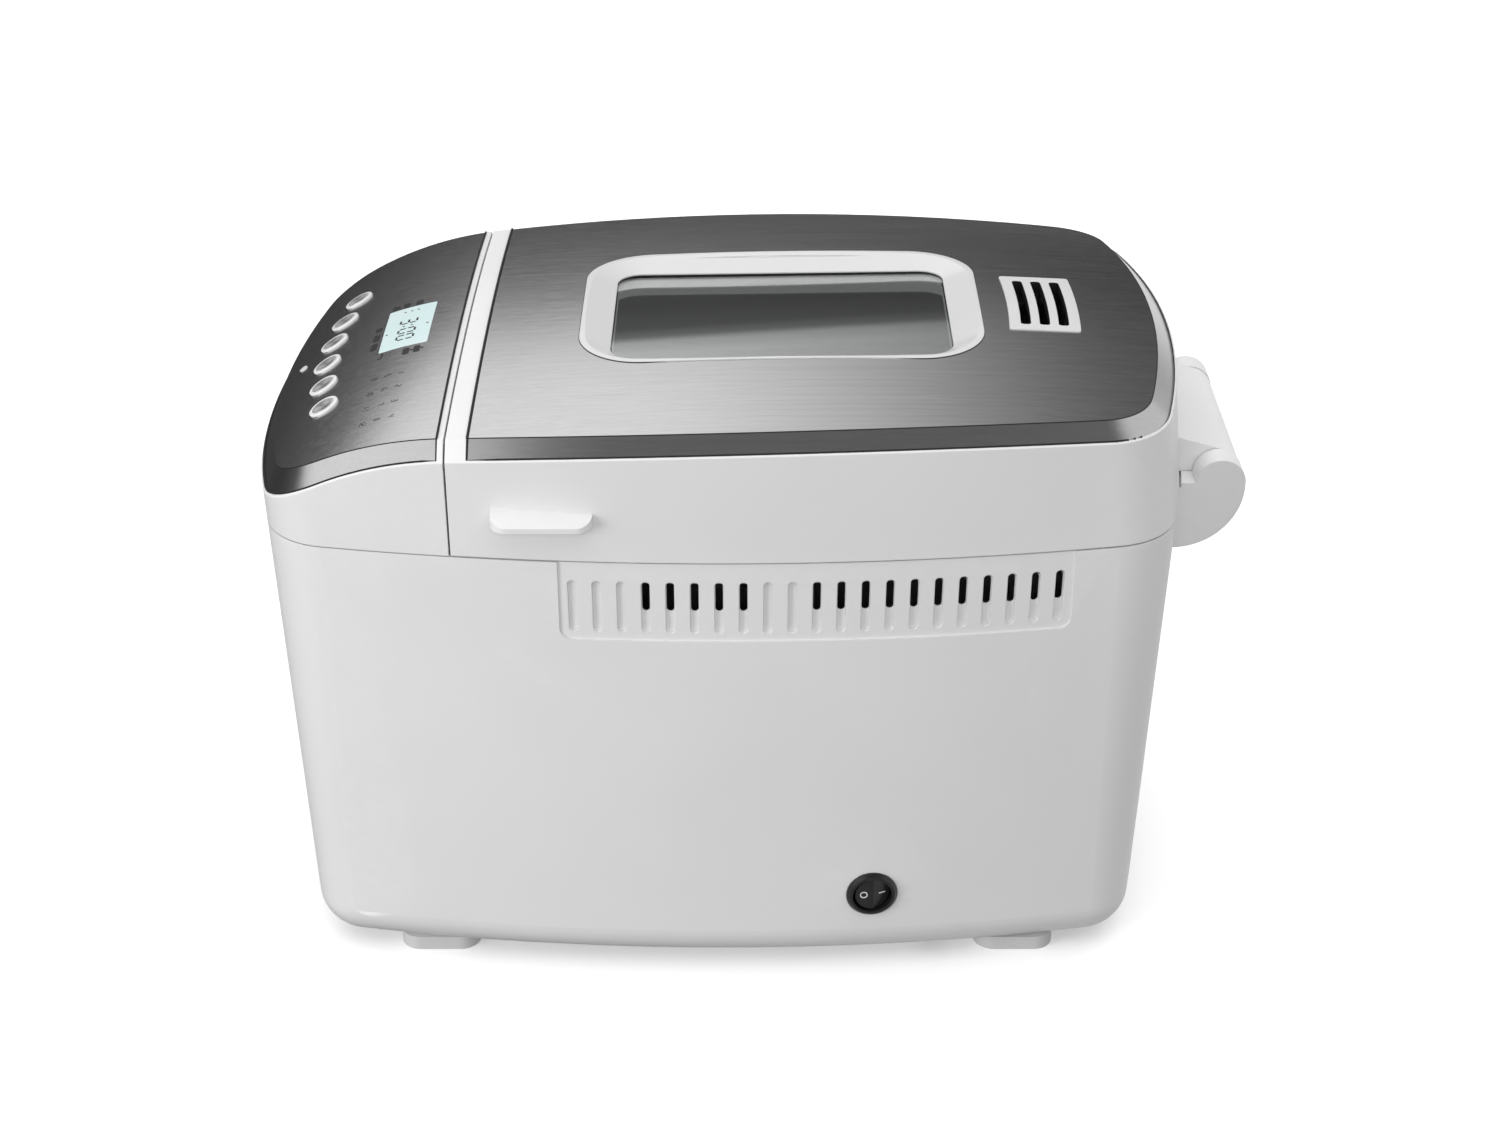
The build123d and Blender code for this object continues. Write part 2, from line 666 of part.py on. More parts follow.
def window_frame():
    """White dished frame round the window."""
    proud = LID_CROWN.solid(-FRAME_PROUD)
    flange = on_window(0, -CROWN_RISE / 2, CROWN_RISE / 2) & (proud - LID_CROWN.solid(FACIA_THICKNESS))
    core = on_window(-FRAME_LEDGE, GLASS_TOP, CROWN_RISE / 2) & proud
    low = RectangleRounded(SIGHT_WIDTH, SIGHT_LENGTH, SIGHT_RADIUS)
    high = RectangleRounded(
        WINDOW_WIDTH - 2 * FRAME_RIM, WINDOW_LENGTH - 2 * FRAME_RIM, WINDOW_RADIUS - FRAME_RIM)
    high_plane = WINDOW_PLANE.offset(FRAME_EDGE)
    dish = loft([WINDOW_PLANE.offset(FRAME_EDGE - FRAME_DISH) * low, high_plane * high], ruled=True)
    dish += extrude(high_plane * high, CROWN_RISE / 2)
    return flange + core - on_sight(0, -CROWN_RISE / 2, CROWN_RISE / 2) - dish


def window_glass():
    """Flat pane under the frame."""
    return on_sight(GLASS_OVERLAP, GLASS_FOOT, GLASS_TOP)


def window_seal():
    """Soft ring between the pane and the liner."""
    outer = on_sight(GLASS_OVERLAP, SEAL_FOOT, GLASS_FOOT)
    return outer - on_sight(GLASS_OVERLAP - SEAL_WIDTH, SEAL_FOOT, GLASS_FOOT)


def lid_vent():
    """White steam vent with curved slots."""
    proud = LID_CROWN.solid(-FRAME_PROUD)
    flange = vent_opening(0) & (proud - LID_CROWN.solid(FACIA_THICKNESS))
    vent = flange + (vent_opening(-VENT_LEDGE) & (proud - LID_CROWN.solid(VENT_DEPTH)))
    for index in range(VENT_SLOTS):
        shift = (index - (VENT_SLOTS - 1) / 2) * VENT_SLOT_PITCH
        vent -= curved_band(VENT_SLOT_LENGTH, VENT_SLOT_WIDTH, shift, SEAM_Z, CROWN_Z + CROWN_RISE)
    return vent


def lid_liner():
    """Metal inside of the lid: a plate and a funnel up to the window."""
    sheet = LINER_SHEET
    high = LINER_Z + sheet
    plate = lid_column(CASING_WALL + FIT, LINER_Z, high) & side_of(LID.end_y + CASING_WALL + FIT, 1)

    def funnel(grow, below, above):
        foot = RectangleRounded(FUNNEL_WIDTH + 2 * grow, FUNNEL_LENGTH + 2 * grow, FUNNEL_RADIUS + grow)
        head = RectangleRounded(SIGHT_WIDTH + 2 * grow, SIGHT_LENGTH + 2 * grow, SIGHT_RADIUS + grow)
        foot_face = Pos(0, WINDOW_Y, LINER_Z - below) * foot
        return loft([foot_face, WINDOW_PLANE.offset(SEAL_FOOT - sheet + above) * head], ruled=True)

    flange = on_sight(GLASS_OVERLAP, SEAL_FOOT - sheet, SEAL_FOOT)
    liner = plate + funnel(sheet, 0, 0) + flange
    liner -= funnel(0, 0, 0) + on_sight(0, SEAL_FOOT - 2 * sheet, SEAL_FOOT)
    for x, y in lid_boss_places():
        liner -= cylinder_at(x, y, LINER_Z, high, SCREW_RADIUS + FIT)
    for index in range(LINER_HOLES):
        x = (index - (LINER_HOLES - 1) / 2) * LINER_HOLE_PITCH
        liner -= cylinder_at(x, VENT_Y, LINER_Z, high, LINER_HOLE_RADIUS)
    return liner


def screw_up(x, y, z_head):
    """Round-headed screw driven upwards."""
    head_top = z_head + SCREW_HEAD
    shank = cylinder_at(x, y, head_top, head_top + SCREW_LENGTH, SCREW_RADIUS)
    return cylinder_at(x, y, z_head, head_top, SCREW_HEAD_RADIUS) + shank


def lid_screws():
    """Screws that hold the liner to the lid."""
    return [screw_up(x, y, LINER_Z - SCREW_HEAD) for x, y in lid_boss_places()]


def casing_form(inset, z_low, radius):
    """Body outline from the floor to the seam with a rounded lower edge."""
    raw = column(inset, z_low, SEAM_Z)
    return fillet(raw.faces().sort_by(Axis.Z)[0].edges(), radius)


def slot_prisms(length, margin, depth, indices):
    """Upright rounded slots of the vent band, cut square into both side walls."""
    prisms = []
    for index in indices:
        y = BAND_Y + (index - (SLOT_COUNT - 1) / 2) * SLOT_PITCH
        place = wall_plane(y, SEAM_Z - SLOT_TOP - length / 2)
        outline = SlotOverall(length - 2 * margin, SLOT_WIDTH - 2 * margin, rotation=90)
        slot = extrude(place.offset(-depth) * outline, 2 * depth)
        prisms += [slot, mirror(slot, Plane.YZ)]
    return prisms


def band_zone():
    """Shallow panel on both side walls that holds the vent slots."""
    panel = RectangleRounded(BAND_LENGTH, 2 * BAND_HEIGHT, BAND_CORNER)
    return extrude(Plane.YZ * Pos(BAND_Y, SEAM_Z) * panel, BIG / 2, both=True)


def cord_notch(margin):
    """Round-topped notch for the cord in the lower edge of the right-hand side."""
    half = CORD_WIDTH / 2 + margin
    shape = Pos(CORD_Y, FLOOR_Z + CORD_HEIGHT - half) * Circle(half)
    shape += Pos(CORD_Y, FLOOR_Z + CORD_HEIGHT - 2 * half) * Rectangle(2 * half, 2 * half)
    return extrude(Plane.YZ.offset(FOOT_X) * shape, HALF_WIDTH)


def switch_hole(radius):
    """Bore through the side wall on the switch axis."""
    place = wall_plane(SWITCH_Y, SWITCH_Z)
    return extrude(place.offset(-SWITCH_BODY_DEPTH) * Circle(radius), 2 * SWITCH_BODY_DEPTH)


def body_casing():
    """White outer body, open on top, with a ledge for the inner deck."""
    outer = casing_form(0, FLOOR_Z, FLOOR_FILLET)
    inner = casing_form(CASING_WALL, FLOOR_TOP_Z, FLOOR_FILLET - CASING_WALL)
    opening = column(BASE_OPENING, FLOOR_Z, FLOOR_TOP_Z)
    casing = outer - inner - opening
    ledge = column(CASING_WALL / 2, LEDGE_Z - LEDGE_HEIGHT, LEDGE_Z)
    casing += ledge - column(CASING_WALL + LEDGE_WIDTH, LEDGE_Z - LEDGE_HEIGHT, LEDGE_Z)
    skin_foot = LEDGE_Z - 2 * BAND_HEIGHT
    skin = column(-FIT, skin_foot, SEAM_Z) - column(BAND_DEPTH, skin_foot, SEAM_Z)
    casing -= band_zone() & skin
    open_slots = [index for index in range(SLOT_COUNT) if index not in BLIND_SLOTS]
    casing -= slot_prisms(SLOT_LENGTH, 0, BAND_DEPTH + SLOT_DEPTH, range(SLOT_COUNT))
    casing -= slot_prisms(SLOT_OPEN, SLOT_MARGIN, 2 * CASING_WALL, open_slots)
    casing -= switch_hole(SWITCH_BODY_RADIUS + FIT / 2)
    casing -= cord_notch(0)
    for x, y in foot_screw_places():
        casing -= cylinder_at(x, y, FLOOR_Z, FLOOR_TOP_Z, SCREW_RADIUS + FIT)
    return casing


def foot_screw_places():
    """Plan places of the screws in the feet, over the flat of the casing floor."""
    return [(sign * FOOT_SCREW_X, y) for sign in (-1, 1) for y in (FOOT_FRONT_Y, FOOT_BACK_Y)]


def foot_places():
    """Plan places of the four feet."""
    return [(sign * FOOT_X, y) for sign in (-1, 1) for y in (FOOT_FRONT_Y, FOOT_BACK_Y)]


def leg_places():
    """Plan places of the casting legs."""
    return [(sx * CASTING_LEG_X, CHAMBER_Y + sy * CASTING_LEG_Y) for sx in (-1, 1) for sy in (-1, 1)]


def post_places():
    """Plan places of the motor bracket posts."""
    return [(sx * MOTOR_POST_X, MOTOR_Y + sy * MOTOR_POST_Y) for sx in (-1, 1) for sy in (-1, 1)]


def base_plate():
    """Stepped plate that closes the casing from inside."""
    plate = column(BASE_OVERLAP, FLOOR_TOP_Z, BASE_TOP_Z) + column(BASE_OPENING + FIT, FLOOR_Z, FLOOR_TOP_Z)
    for x, y in leg_places() + post_places():
        plate -= cylinder_at(x, y, FLOOR_Z, BASE_TOP_Z, SCREW_RADIUS + FIT)
        plate -= cylinder_at(x, y, FLOOR_Z, FLOOR_Z + SCREW_HEAD, SCREW_HEAD_RADIUS + FIT)
    for x, y in foot_screw_places():
        plate -= cylinder_at(x, y, FLOOR_Z, BASE_TOP_Z, SCREW_RADIUS)
    return plate - cord_notch(FIT)


def feet():
    """Four soft feet that follow the lower edge of the casing."""
    outer = casing_form(0, FLOOR_Z, FLOOR_FILLET)
    pads = []
    for (x, y), (screw_x, _) in zip(foot_places(), foot_screw_places()):
        outline = RectangleRounded(FOOT_WIDTH, FOOT_LENGTH, FOOT_RADIUS)
        pad = Pos(x, y, 0) * extrude(outline, FLOOR_Z + CASING_WALL) - outer
        pad = pad & slab(0, FLOOR_TOP_Z) - column(BASE_OPENING + FIT, FLOOR_Z, FLOOR_TOP_Z)
        pad -= cylinder_at(screw_x, y, 0, FLOOR_Z - SCREW_HEAD, FOOT_RECESS_RADIUS)
        pads.append(pad - cylinder_at(screw_x, y, 0, FLOOR_Z, SCREW_HEAD_RADIUS + FIT))
    return pads


def base_screws():
    """Screws under the casting legs, the motor posts and the feet."""
    screws = [screw_up(x, y, FLOOR_Z) for x, y in leg_places() + post_places()]
    return screws + [screw_up(x, y, FLOOR_Z - SCREW_HEAD) for x, y in foot_screw_places()]


def inner_deck():
    """White deck round the chamber mouth, under the lid."""
    deck = column(CASING_WALL + FIT, LEDGE_Z, DECK_Z) & side_of(SPLIT_Y - DECK_FRONT, 1)
    return deck - chamber_block(FIT, LEDGE_Z, DECK_Z)


def chamber_block(margin, z_low, z_high):
    """Rounded block of the chamber's outside with a margin."""
    width = 2 * (CHAMBER_HALF_WIDTH + CHAMBER_SHEET + margin)
    length = 2 * (CHAMBER_HALF_LENGTH + CHAMBER_SHEET + margin)
    outline = RectangleRounded(width, length, CHAMBER_RADIUS + CHAMBER_SHEET + margin)
    return Pos(0, CHAMBER_Y, z_low) * extrude(outline, z_high - z_low)


def chamber():
    """Sheet metal baking chamber hung by its flange on the deck."""
    box = chamber_block(0, CHAMBER_FLOOR_Z, CHAMBER_RIM_Z)
    box += chamber_block(CHAMBER_FLANGE, DECK_Z, CHAMBER_RIM_Z)
    box -= chamber_block(-CHAMBER_SHEET, CHAMBER_TOP_Z, CHAMBER_RIM_Z)
    for y in SHAFT_Y:
        box -= cylinder_at(0, y, CHAMBER_FLOOR_Z, CHAMBER_TOP_Z, BOSS_RADIUS + FIT)
    front = CHAMBER_Y - CHAMBER_HALF_LENGTH
    through = (front - 2 * CHAMBER_SHEET, front + CHAMBER_SHEET)
    for x in (-TERMINAL_X, TERMINAL_X):
        box -= front_bore(x, ELEMENT_Z, ELEMENT_RADIUS + FIT, *through)
    return box - front_bore(PROBE_X, PROBE_Z, PROBE_RADIUS, *through)


def front_bore(x, z, radius, y_low, y_high):
    """Cylinder along Y between two places."""
    return extrude(Plane.XZ.offset(-y_high) * Pos(x, z) * Circle(radius), y_high - y_low)


def heating_element():
    """Tubular loop round the pan with two terminals through the front wall."""
    x = CHAMBER_HALF_WIDTH - ELEMENT_WALL_GAP
    front = CHAMBER_Y - CHAMBER_HALF_LENGTH + ELEMENT_WALL_GAP
    back = CHAMBER_Y + CHAMBER_HALF_LENGTH - ELEMENT_WALL_GAP
    tip = CHAMBER_Y - CHAMBER_HALF_LENGTH - CHAMBER_SHEET - TERMINAL_REACH
    half = [(TERMINAL_X, tip), (TERMINAL_X, front), (x, front), (x, back)]
    route = [(px, py, ELEMENT_Z) for px, py in half + [(-px, py) for px, py in reversed(half)]]
    path = FilletPolyline(*route, radius=ELEMENT_BEND)
    return sweep(Plane(origin=path @ 0, z_dir=path % 0) * Circle(ELEMENT_RADIUS), path=path)


def element_supports():
    """Brackets on the side walls under the element."""
    supports = []
    top = ELEMENT_Z - ELEMENT_RADIUS
    wall = CHAMBER_HALF_WIDTH
    for sign in (-1, 1):
        for y in (CHAMBER_Y - SUPPORT_SPACING / 2, CHAMBER_Y + SUPPORT_SPACING / 2):
            low, high = y - SUPPORT_WIDTH / 2, y + SUPPORT_WIDTH / 2
            reach = wall - ELEMENT_WALL_GAP - ELEMENT_RADIUS
            shelf = block(reach, wall, low, high, top - SUPPORT_SHEET, top)
            leaf = block(wall - SUPPORT_SHEET, wall, low, high, top - SUPPORT_HEIGHT, top)
            bracket = shelf + leaf
            supports.append(bracket if sign > 0 else mirror(bracket, Plane.YZ))
    return supports


def temperature_probe():
    """Probe through the front wall of the chamber."""
    wall = CHAMBER_Y - CHAMBER_HALF_LENGTH
    outer = wall - CHAMBER_SHEET
    probe = front_bore(PROBE_X, PROBE_Z, PROBE_RADIUS, outer - PROBE_OUTSIDE, wall + PROBE_INSIDE)
    return probe + front_bore(PROBE_X, PROBE_Z, PROBE_FLANGE_RADIUS, outer - PROBE_FLANGE, outer)


def drive_base():
    """Casting under the chamber with two bearing bosses and four legs."""
    outline = RectangleRounded(2 * CASTING_HALF_WIDTH, 2 * CASTING_HALF_LENGTH, CASTING_RADIUS)
    casting = Pos(0, CHAMBER_Y, CASTING_Z) * extrude(outline, CASTING_PLATE)
    for x, y in leg_places():
        casting += cylinder_at(x, y, BASE_TOP_Z, CHAMBER_FLOOR_Z, LEG_RADIUS)
    for y in SHAFT_Y:
        casting += cylinder_at(0, y, BOSS_FOOT_Z, BOSS_TOP_Z, BOSS_RADIUS)
    for y in SHAFT_Y:
        casting -= cylinder_at(0, y, BOSS_FOOT_Z, BOSS_TOP_Z, BUSH_RADIUS)
    for x, y in leg_places():
        casting -= cylinder_at(x, y, BASE_TOP_Z, FLOOR_Z + SCREW_HEAD + SCREW_LENGTH, SCREW_RADIUS)
    return casting


def shaft_bushes():
    """Plain bearings in the casting bosses."""
    bushes = []
    for y in SHAFT_Y:
        bush = cylinder_at(0, y, BOSS_FOOT_Z, BOSS_TOP_Z, BUSH_RADIUS)
        bushes.append(bush - cylinder_at(0, y, BOSS_FOOT_Z, BOSS_TOP_Z, SHAFT_RADIUS + RUNNING_FIT))
    return bushes


def drive_shaft(index):
    """Upright shaft with a dog on top that turns the pan's coupling."""
    y = SHAFT_Y[index]
    foot = DRIVE_PULLEY_Z if index == 0 else LINK_PULLEY_Z
    shaft = cylinder_at(0, y, foot, DOG_TOP_Z, SHAFT_RADIUS)
    shaft += cylinder_at(0, y, DOG_Z, DOG_TOP_Z, DOG_RADIUS)
    for sign in (-1, 1):
        shaft += cylinder_at(sign * DOG_PEG_ORBIT, y, DOG_Z, DOG_TOP_Z + DOG_PEG_HEIGHT, DOG_PEG_RADIUS)
    return shaft


def pulley(y, z_low, radius, bore):
    """Flanged pulley for a flat belt, hollowed to a thin web where it is large."""
    high = z_low + PULLEY_HEIGHT
    wheel = cylinder_at(0, y, z_low, high, radius)
    for flange_z in (z_low, high - PULLEY_FLANGE):
        wheel += cylinder_at(0, y, flange_z, flange_z + PULLEY_FLANGE, radius + PULLEY_FLANGE_RISE)
    if radius - PULLEY_RIM > PULLEY_HUB_RADIUS:
        ring = Circle(radius - PULLEY_RIM) - Circle(PULLEY_HUB_RADIUS)
        relief = (PULLEY_HEIGHT - PULLEY_WEB) / 2
        for relief_z in (z_low, high - relief):
            wheel -= Pos(0, y, relief_z) * extrude(ring, relief)
    return wheel - cylinder_at(0, y, z_low, high, bore)


def belt(y_a, radius_a, y_b, radius_b, pulley_z):
    """Flat belt round two pulleys."""
    inner = hull(y_a, radius_a + FIT, y_b, radius_b + FIT)
    outer = hull(y_a, radius_a + FIT + BELT_THICKNESS, y_b, radius_b + FIT + BELT_THICKNESS)
    z_low = pulley_z + PULLEY_FLANGE + (PULLEY_FACE - BELT_WIDTH) / 2
    return Pos(0, 0, z_low) * extrude(outer - inner, BELT_WIDTH)


def motor():
    """Laminated motor with a round end cap, hung over the front of the base."""
    outline = RectangleRounded(2 * MOTOR_HALF, 2 * MOTOR_HALF, MOTOR_CORNER)
    top = MOTOR_Z + MOTOR_HEIGHT
    body = Pos(0, MOTOR_Y, MOTOR_Z) * extrude(outline, MOTOR_HEIGHT)
    body += cylinder_at(0, MOTOR_Y, top, top + MOTOR_CAP, MOTOR_CAP_RADIUS)
    return body - cylinder_at(0, MOTOR_Y, MOTOR_Z, top, MOTOR_SHAFT_RADIUS + RUNNING_FIT)


def motor_bracket():
    """Plate on four posts that carries the motor."""
    size = (2 * MOTOR_BRACKET_HALF_WIDTH, 2 * MOTOR_BRACKET_HALF_LENGTH)
    outline = RectangleRounded(*size, MOTOR_POST_INSET)
    plate = Pos(0, MOTOR_Y, MOTOR_BRACKET_Z) * extrude(outline, MOTOR_BRACKET_SHEET)
    for x, y in post_places():
        plate += cylinder_at(x, y, BASE_TOP_Z, MOTOR_BRACKET_Z, MOTOR_POST_RADIUS)
    for x, y in post_places():
        plate -= cylinder_at(x, y, BASE_TOP_Z, FLOOR_Z + SCREW_HEAD + SCREW_LENGTH, SCREW_RADIUS)
    return plate - cylinder_at(0, MOTOR_Y, MOTOR_BRACKET_Z, MOTOR_Z, MOTOR_SHAFT_RADIUS + FIT)


def motor_shaft():
    """Motor shaft, from the pulley up into the motor."""
    return cylinder_at(0, MOTOR_Y, DRIVE_PULLEY_Z, MOTOR_Z + MOTOR_HEIGHT - FIT, MOTOR_SHAFT_RADIUS)


def motor_capacitor():
    """Run capacitor that stands on the base plate."""
    return cylinder_at(CAPACITOR_X, MOTOR_Y, BASE_TOP_Z, BASE_TOP_Z + CAPACITOR_HEIGHT, CAPACITOR_RADIUS)


def power_board():
    """Power board on four legs with its relay and transformer."""
    half_x, half_y = POWER_BOARD_WIDTH / 2, POWER_BOARD_LENGTH / 2
    low = BASE_TOP_Z + POWER_BOARD_RISE
    high = low + BOARD_SHEET
    x_low, x_high = POWER_BOARD_X - half_x, POWER_BOARD_X + half_x
    board = block(x_low, x_high, MOTOR_Y - half_y, MOTOR_Y + half_y, low, high)
    third = POWER_BOARD_LENGTH / 3
    front, back = MOTOR_Y - POWER_PART_GAP / 2, MOTOR_Y + POWER_PART_GAP / 2
    inner_low, inner_high = x_low + TRANSFORMER_INSET, x_high - TRANSFORMER_INSET
    board += block(inner_low, inner_high, front - third, front, high, high + TRANSFORMER_HEIGHT)
    inner_low, inner_high = x_low + RELAY_INSET, x_high - RELAY_INSET
    board += block(inner_low, inner_high, back, back + third, high, high + RELAY_HEIGHT)
    for sx in (-1, 1):
        for sy in (-1, 1):
            x = POWER_BOARD_X + sx * (half_x - BOARD_POST_RADIUS)
            y = MOTOR_Y + sy * (half_y - BOARD_POST_RADIUS)
            board += cylinder_at(x, y, BASE_TOP_Z, low, BOARD_POST_RADIUS)
    return board


def pan_block(inset, z_low, z_high):
    """Tapered inside or outside of the pan between two heights."""
    depth = PAN_RIM_Z - PAN_FLOOR_Z

    def outline(z):
        narrow = inset + PAN_TAPER * (PAN_RIM_Z - z) / depth
        size = (2 * (PAN_HALF_WIDTH - narrow), 2 * (PAN_HALF_LENGTH - narrow))
        return Pos(0, CHAMBER_Y, z) * RectangleRounded(*size, PAN_RADIUS - narrow)

    return loft([outline(z_low), outline(z_high)], ruled=True)


def skirt_block(grow, z_low, z_high):
    """Long round-ended block under the pan."""
    outline = hull(SHAFT_Y[0], SKIRT_RADIUS + grow, SHAFT_Y[1], SKIRT_RADIUS + grow)
    return Pos(0, 0, z_low) * extrude(outline, z_high - z_low)


def bail_ear():
    """Round-topped plate on the right-hand lip with the bail's pivot hole."""
    half = EAR_PLATE_WIDTH / 2
    outer = PAN_HALF_WIDTH + PAN_LIP
    inner = outer - EAR_PLATE
    foot = PAN_RIM_Z - PAN_LIP_SHEET
    plate = block(inner, outer, CHAMBER_Y - half, CHAMBER_Y + half, foot, BAIL_Z)
    plate += bail_pivot(half, inner, outer)
    plate = plate & slab(foot, BAIL_Z + half)
    return plate - bail_pivot(BAIL_RADIUS + RUNNING_FIT, inner, outer)


def bread_pan():
    """Pan with a rolled lip, two bail ears and a skirt that stands on the chamber floor."""
    floor_top = PAN_FLOOR_Z + PAN_SHEET
    pan = pan_block(0, PAN_FLOOR_Z, PAN_RIM_Z)
    lip = RectangleRounded(
        2 * (PAN_HALF_WIDTH + PAN_LIP), 2 * (PAN_HALF_LENGTH + PAN_LIP), PAN_RADIUS + PAN_LIP)
    pan += Pos(0, CHAMBER_Y, PAN_RIM_Z - PAN_LIP_SHEET) * extrude(lip, PAN_LIP_SHEET)
    pan += skirt_block(0, CHAMBER_TOP_Z, PAN_FLOOR_Z)
    plate = bail_ear()
    pan += plate + mirror(plate, Plane.YZ)
    pan -= pan_block(PAN_SHEET, floor_top, PAN_RIM_Z)
    pan -= skirt_block(-SKIRT_SHEET, CHAMBER_TOP_Z, PAN_FLOOR_Z)
    for y in SHAFT_Y:
        pan -= cylinder_at(0, y, PAN_FLOOR_Z, floor_top, PAN_BUSH_RADIUS)
    return pan


def bail_pivot(radius, x_low, x_high):
    """Cylinder on the bail's axis on the right-hand side."""
    return extrude(Plane.YZ.offset(x_low) * Pos(CHAMBER_Y, BAIL_Z) * Circle(radius), x_high - x_low)


def pan_handle():
    """Wire bail folded down along the front half of the pan's lip."""
    inner = PAN_HALF_WIDTH + PAN_LIP - EAR_PLATE
    front = CHAMBER_Y - BAIL_REACH
    turn = min(BAIL_X - inner - BAIL_RADIUS, BAIL_RADIUS + FIT)
    half = [(inner, CHAMBER_Y), (BAIL_X, CHAMBER_Y), (BAIL_X, front)]
    route = [(x, y, BAIL_Z) for x, y in half + [(-x, y) for x, y in reversed(half)]]
    path = FilletPolyline(*route, radius=[turn, BAIL_BEND, BAIL_BEND, turn])
    return sweep(Plane(origin=path @ 0, z_dir=path % 0) * Circle(BAIL_RADIUS), path=path)


def pan_bushes():
    """Flanged bushes in the pan floor."""
    bushes = []
    for y in SHAFT_Y:
        high = PAN_FLOOR_Z + PAN_SHEET
        low = high - PAN_BUSH_LENGTH
        bush = cylinder_at(0, y, low, high, PAN_BUSH_RADIUS)
        bush += cylinder_at(0, y, PAN_FLOOR_Z - PAN_BUSH_FLANGE, PAN_FLOOR_Z, PAN_BUSH_FLANGE_RADIUS)
        bushes.append(bush - cylinder_at(0, y, low, high, PAN_SHAFT_RADIUS + RUNNING_FIT))
    return bushes


def pan_shaft(index):
    """Shaft through the pan floor with a wing below that the dog turns."""
    y = SHAFT_Y[index]
    shaft = cylinder_at(0, y, WING_Z, PAN_FLOOR_Z + PAN_SHAFT_TOP, PAN_SHAFT_RADIUS)
    half_x, half_y = WING_WIDTH / 2, WING_LENGTH / 2
    return shaft + block(-half_x, half_x, y - half_y, y + half_y, WING_Z, WING_Z + WING_HEIGHT)


def paddle(index):
    """Kneading paddle: a hub that drops over the shaft and one tapered blade."""
    y = SHAFT_Y[index]
    low = PAN_FLOOR_Z + PAN_SHEET + PADDLE_FLOOR_GAP
    hub = cylinder_at(0, y, low, low + PADDLE_HUB_HEIGHT, PADDLE_HUB_RADIUS)
    root, tip = PADDLE_BLADE_ROOT / 2, PADDLE_BLADE_TIP / 2
    reach = PADDLE_REACH - tip
    outline = Polygon((0, -root), (reach, -tip), (reach, tip), (0, root), align=None)
    outline += Pos(reach, 0) * Circle(tip)
    blade = Pos(0, y, low) * extrude(outline, PADDLE_BLADE_HEIGHT)
    crest = extrude(
        Plane.XZ * Polygon((0, PADDLE_BLADE_HEIGHT), (PADDLE_REACH, PADDLE_BLADE_HEIGHT / 2),
                           (PADDLE_REACH, PADDLE_BLADE_HEIGHT), align=None),
        PADDLE_REACH, both=True)
    body = hub + (blade - Pos(0, y, low) * crest)
    return body - cylinder_at(0, y, low, low + PADDLE_BLADE_HEIGHT, PAN_SHAFT_RADIUS + RUNNING_FIT)


def pan_clips():
    """Leaf springs on the chamber floor that grip the pan's skirt."""
    inner = SKIRT_RADIUS + FIT
    low, high = CHAMBER_Y - CLIP_WIDTH / 2, CHAMBER_Y + CLIP_WIDTH / 2
    leaf = block(inner, inner + CLIP_SHEET, low, high, CHAMBER_TOP_Z, CHAMBER_TOP_Z + CLIP_HEIGHT)
    leaf += block(inner, inner + CLIP_FOOT, low, high, CHAMBER_TOP_Z, CHAMBER_TOP_Z + CLIP_SHEET)
    return [leaf, mirror(leaf, Plane.YZ)]


def button_planes():
    """Planes on the panel at the six buttons, in a row that bows to the front."""
    planes = []
    for index in range(BUTTON_COUNT):
        step = (index - (BUTTON_COUNT - 1) / 2) * BUTTON_PITCH
        y = BUTTON_ROW_Y + BUTTON_ROW_RADIUS - sqrt(BUTTON_ROW_RADIUS ** 2 - step ** 2)
        planes.append(COVER_CROWN.plane(BUTTON_ROW_X + step, y))
    return planes


def board_depth(plane):
    """Distance from the panel to the board along a button's axis."""
    normal = BOARD_PLANE.z_dir
    return (plane.origin - BOARD_PLANE.origin).dot(normal) / plane.z_dir.dot(normal)


def post(plane, low, high, radius):
    """Cylinder along a plane's normal."""
    return extrude(plane.offset(low) * Circle(radius), high - low)


def button(index):
    """Push button: a ring-edged head, a flange that holds it in and a stem."""
    plane = button_planes()[index]
    flange_top = -FACIA_DECK - FIT
    stem_foot = -board_depth(plane) + KEY_HEIGHT + KEY_TIP + BUTTON_TRAVEL + STEM_GAP
    head = post(plane, flange_top - BUTTON_FLANGE, BUTTON_PROUD, BUTTON_RADIUS)
    top = head.edges().sort_by(lambda edge: plane.to_local_coords(edge.center()).Z)[-1:]
    head = fillet(top, BUTTON_EDGE)
    head += post(plane, flange_top - BUTTON_FLANGE, flange_top, BUTTON_FLANGE_RADIUS)
    head += post(plane, stem_foot, flange_top, STEM_RADIUS)
    return head - post(plane, BUTTON_PROUD - BUTTON_DISH, BUTTON_PROUD, BUTTON_DISH_RADIUS)


def panel_block(width, length, radius, low, high):
    """Rounded block square to the panel at the display."""
    plane = COVER_CROWN.plane(DISPLAY_X, DISPLAY_Y)
    return extrude(plane.offset(low) * RectangleRounded(width, length, radius), high - low)


def panel_openings():
    """Holes for the buttons, the indicator and the display."""
    holes = [post(plane, -BOARD_DEPTH, BOARD_DEPTH, BUTTON_RADIUS + FIT) for plane in button_planes()]
    lamp = COVER_CROWN.plane(INDICATOR_X, INDICATOR_Y)
    holes.append(post(lamp, -BOARD_DEPTH, BOARD_DEPTH, INDICATOR_RADIUS))
    holes.append(panel_block(DISPLAY_WIDTH, DISPLAY_LENGTH, DISPLAY_RADIUS, -BOARD_DEPTH, BOARD_DEPTH))
    return holes


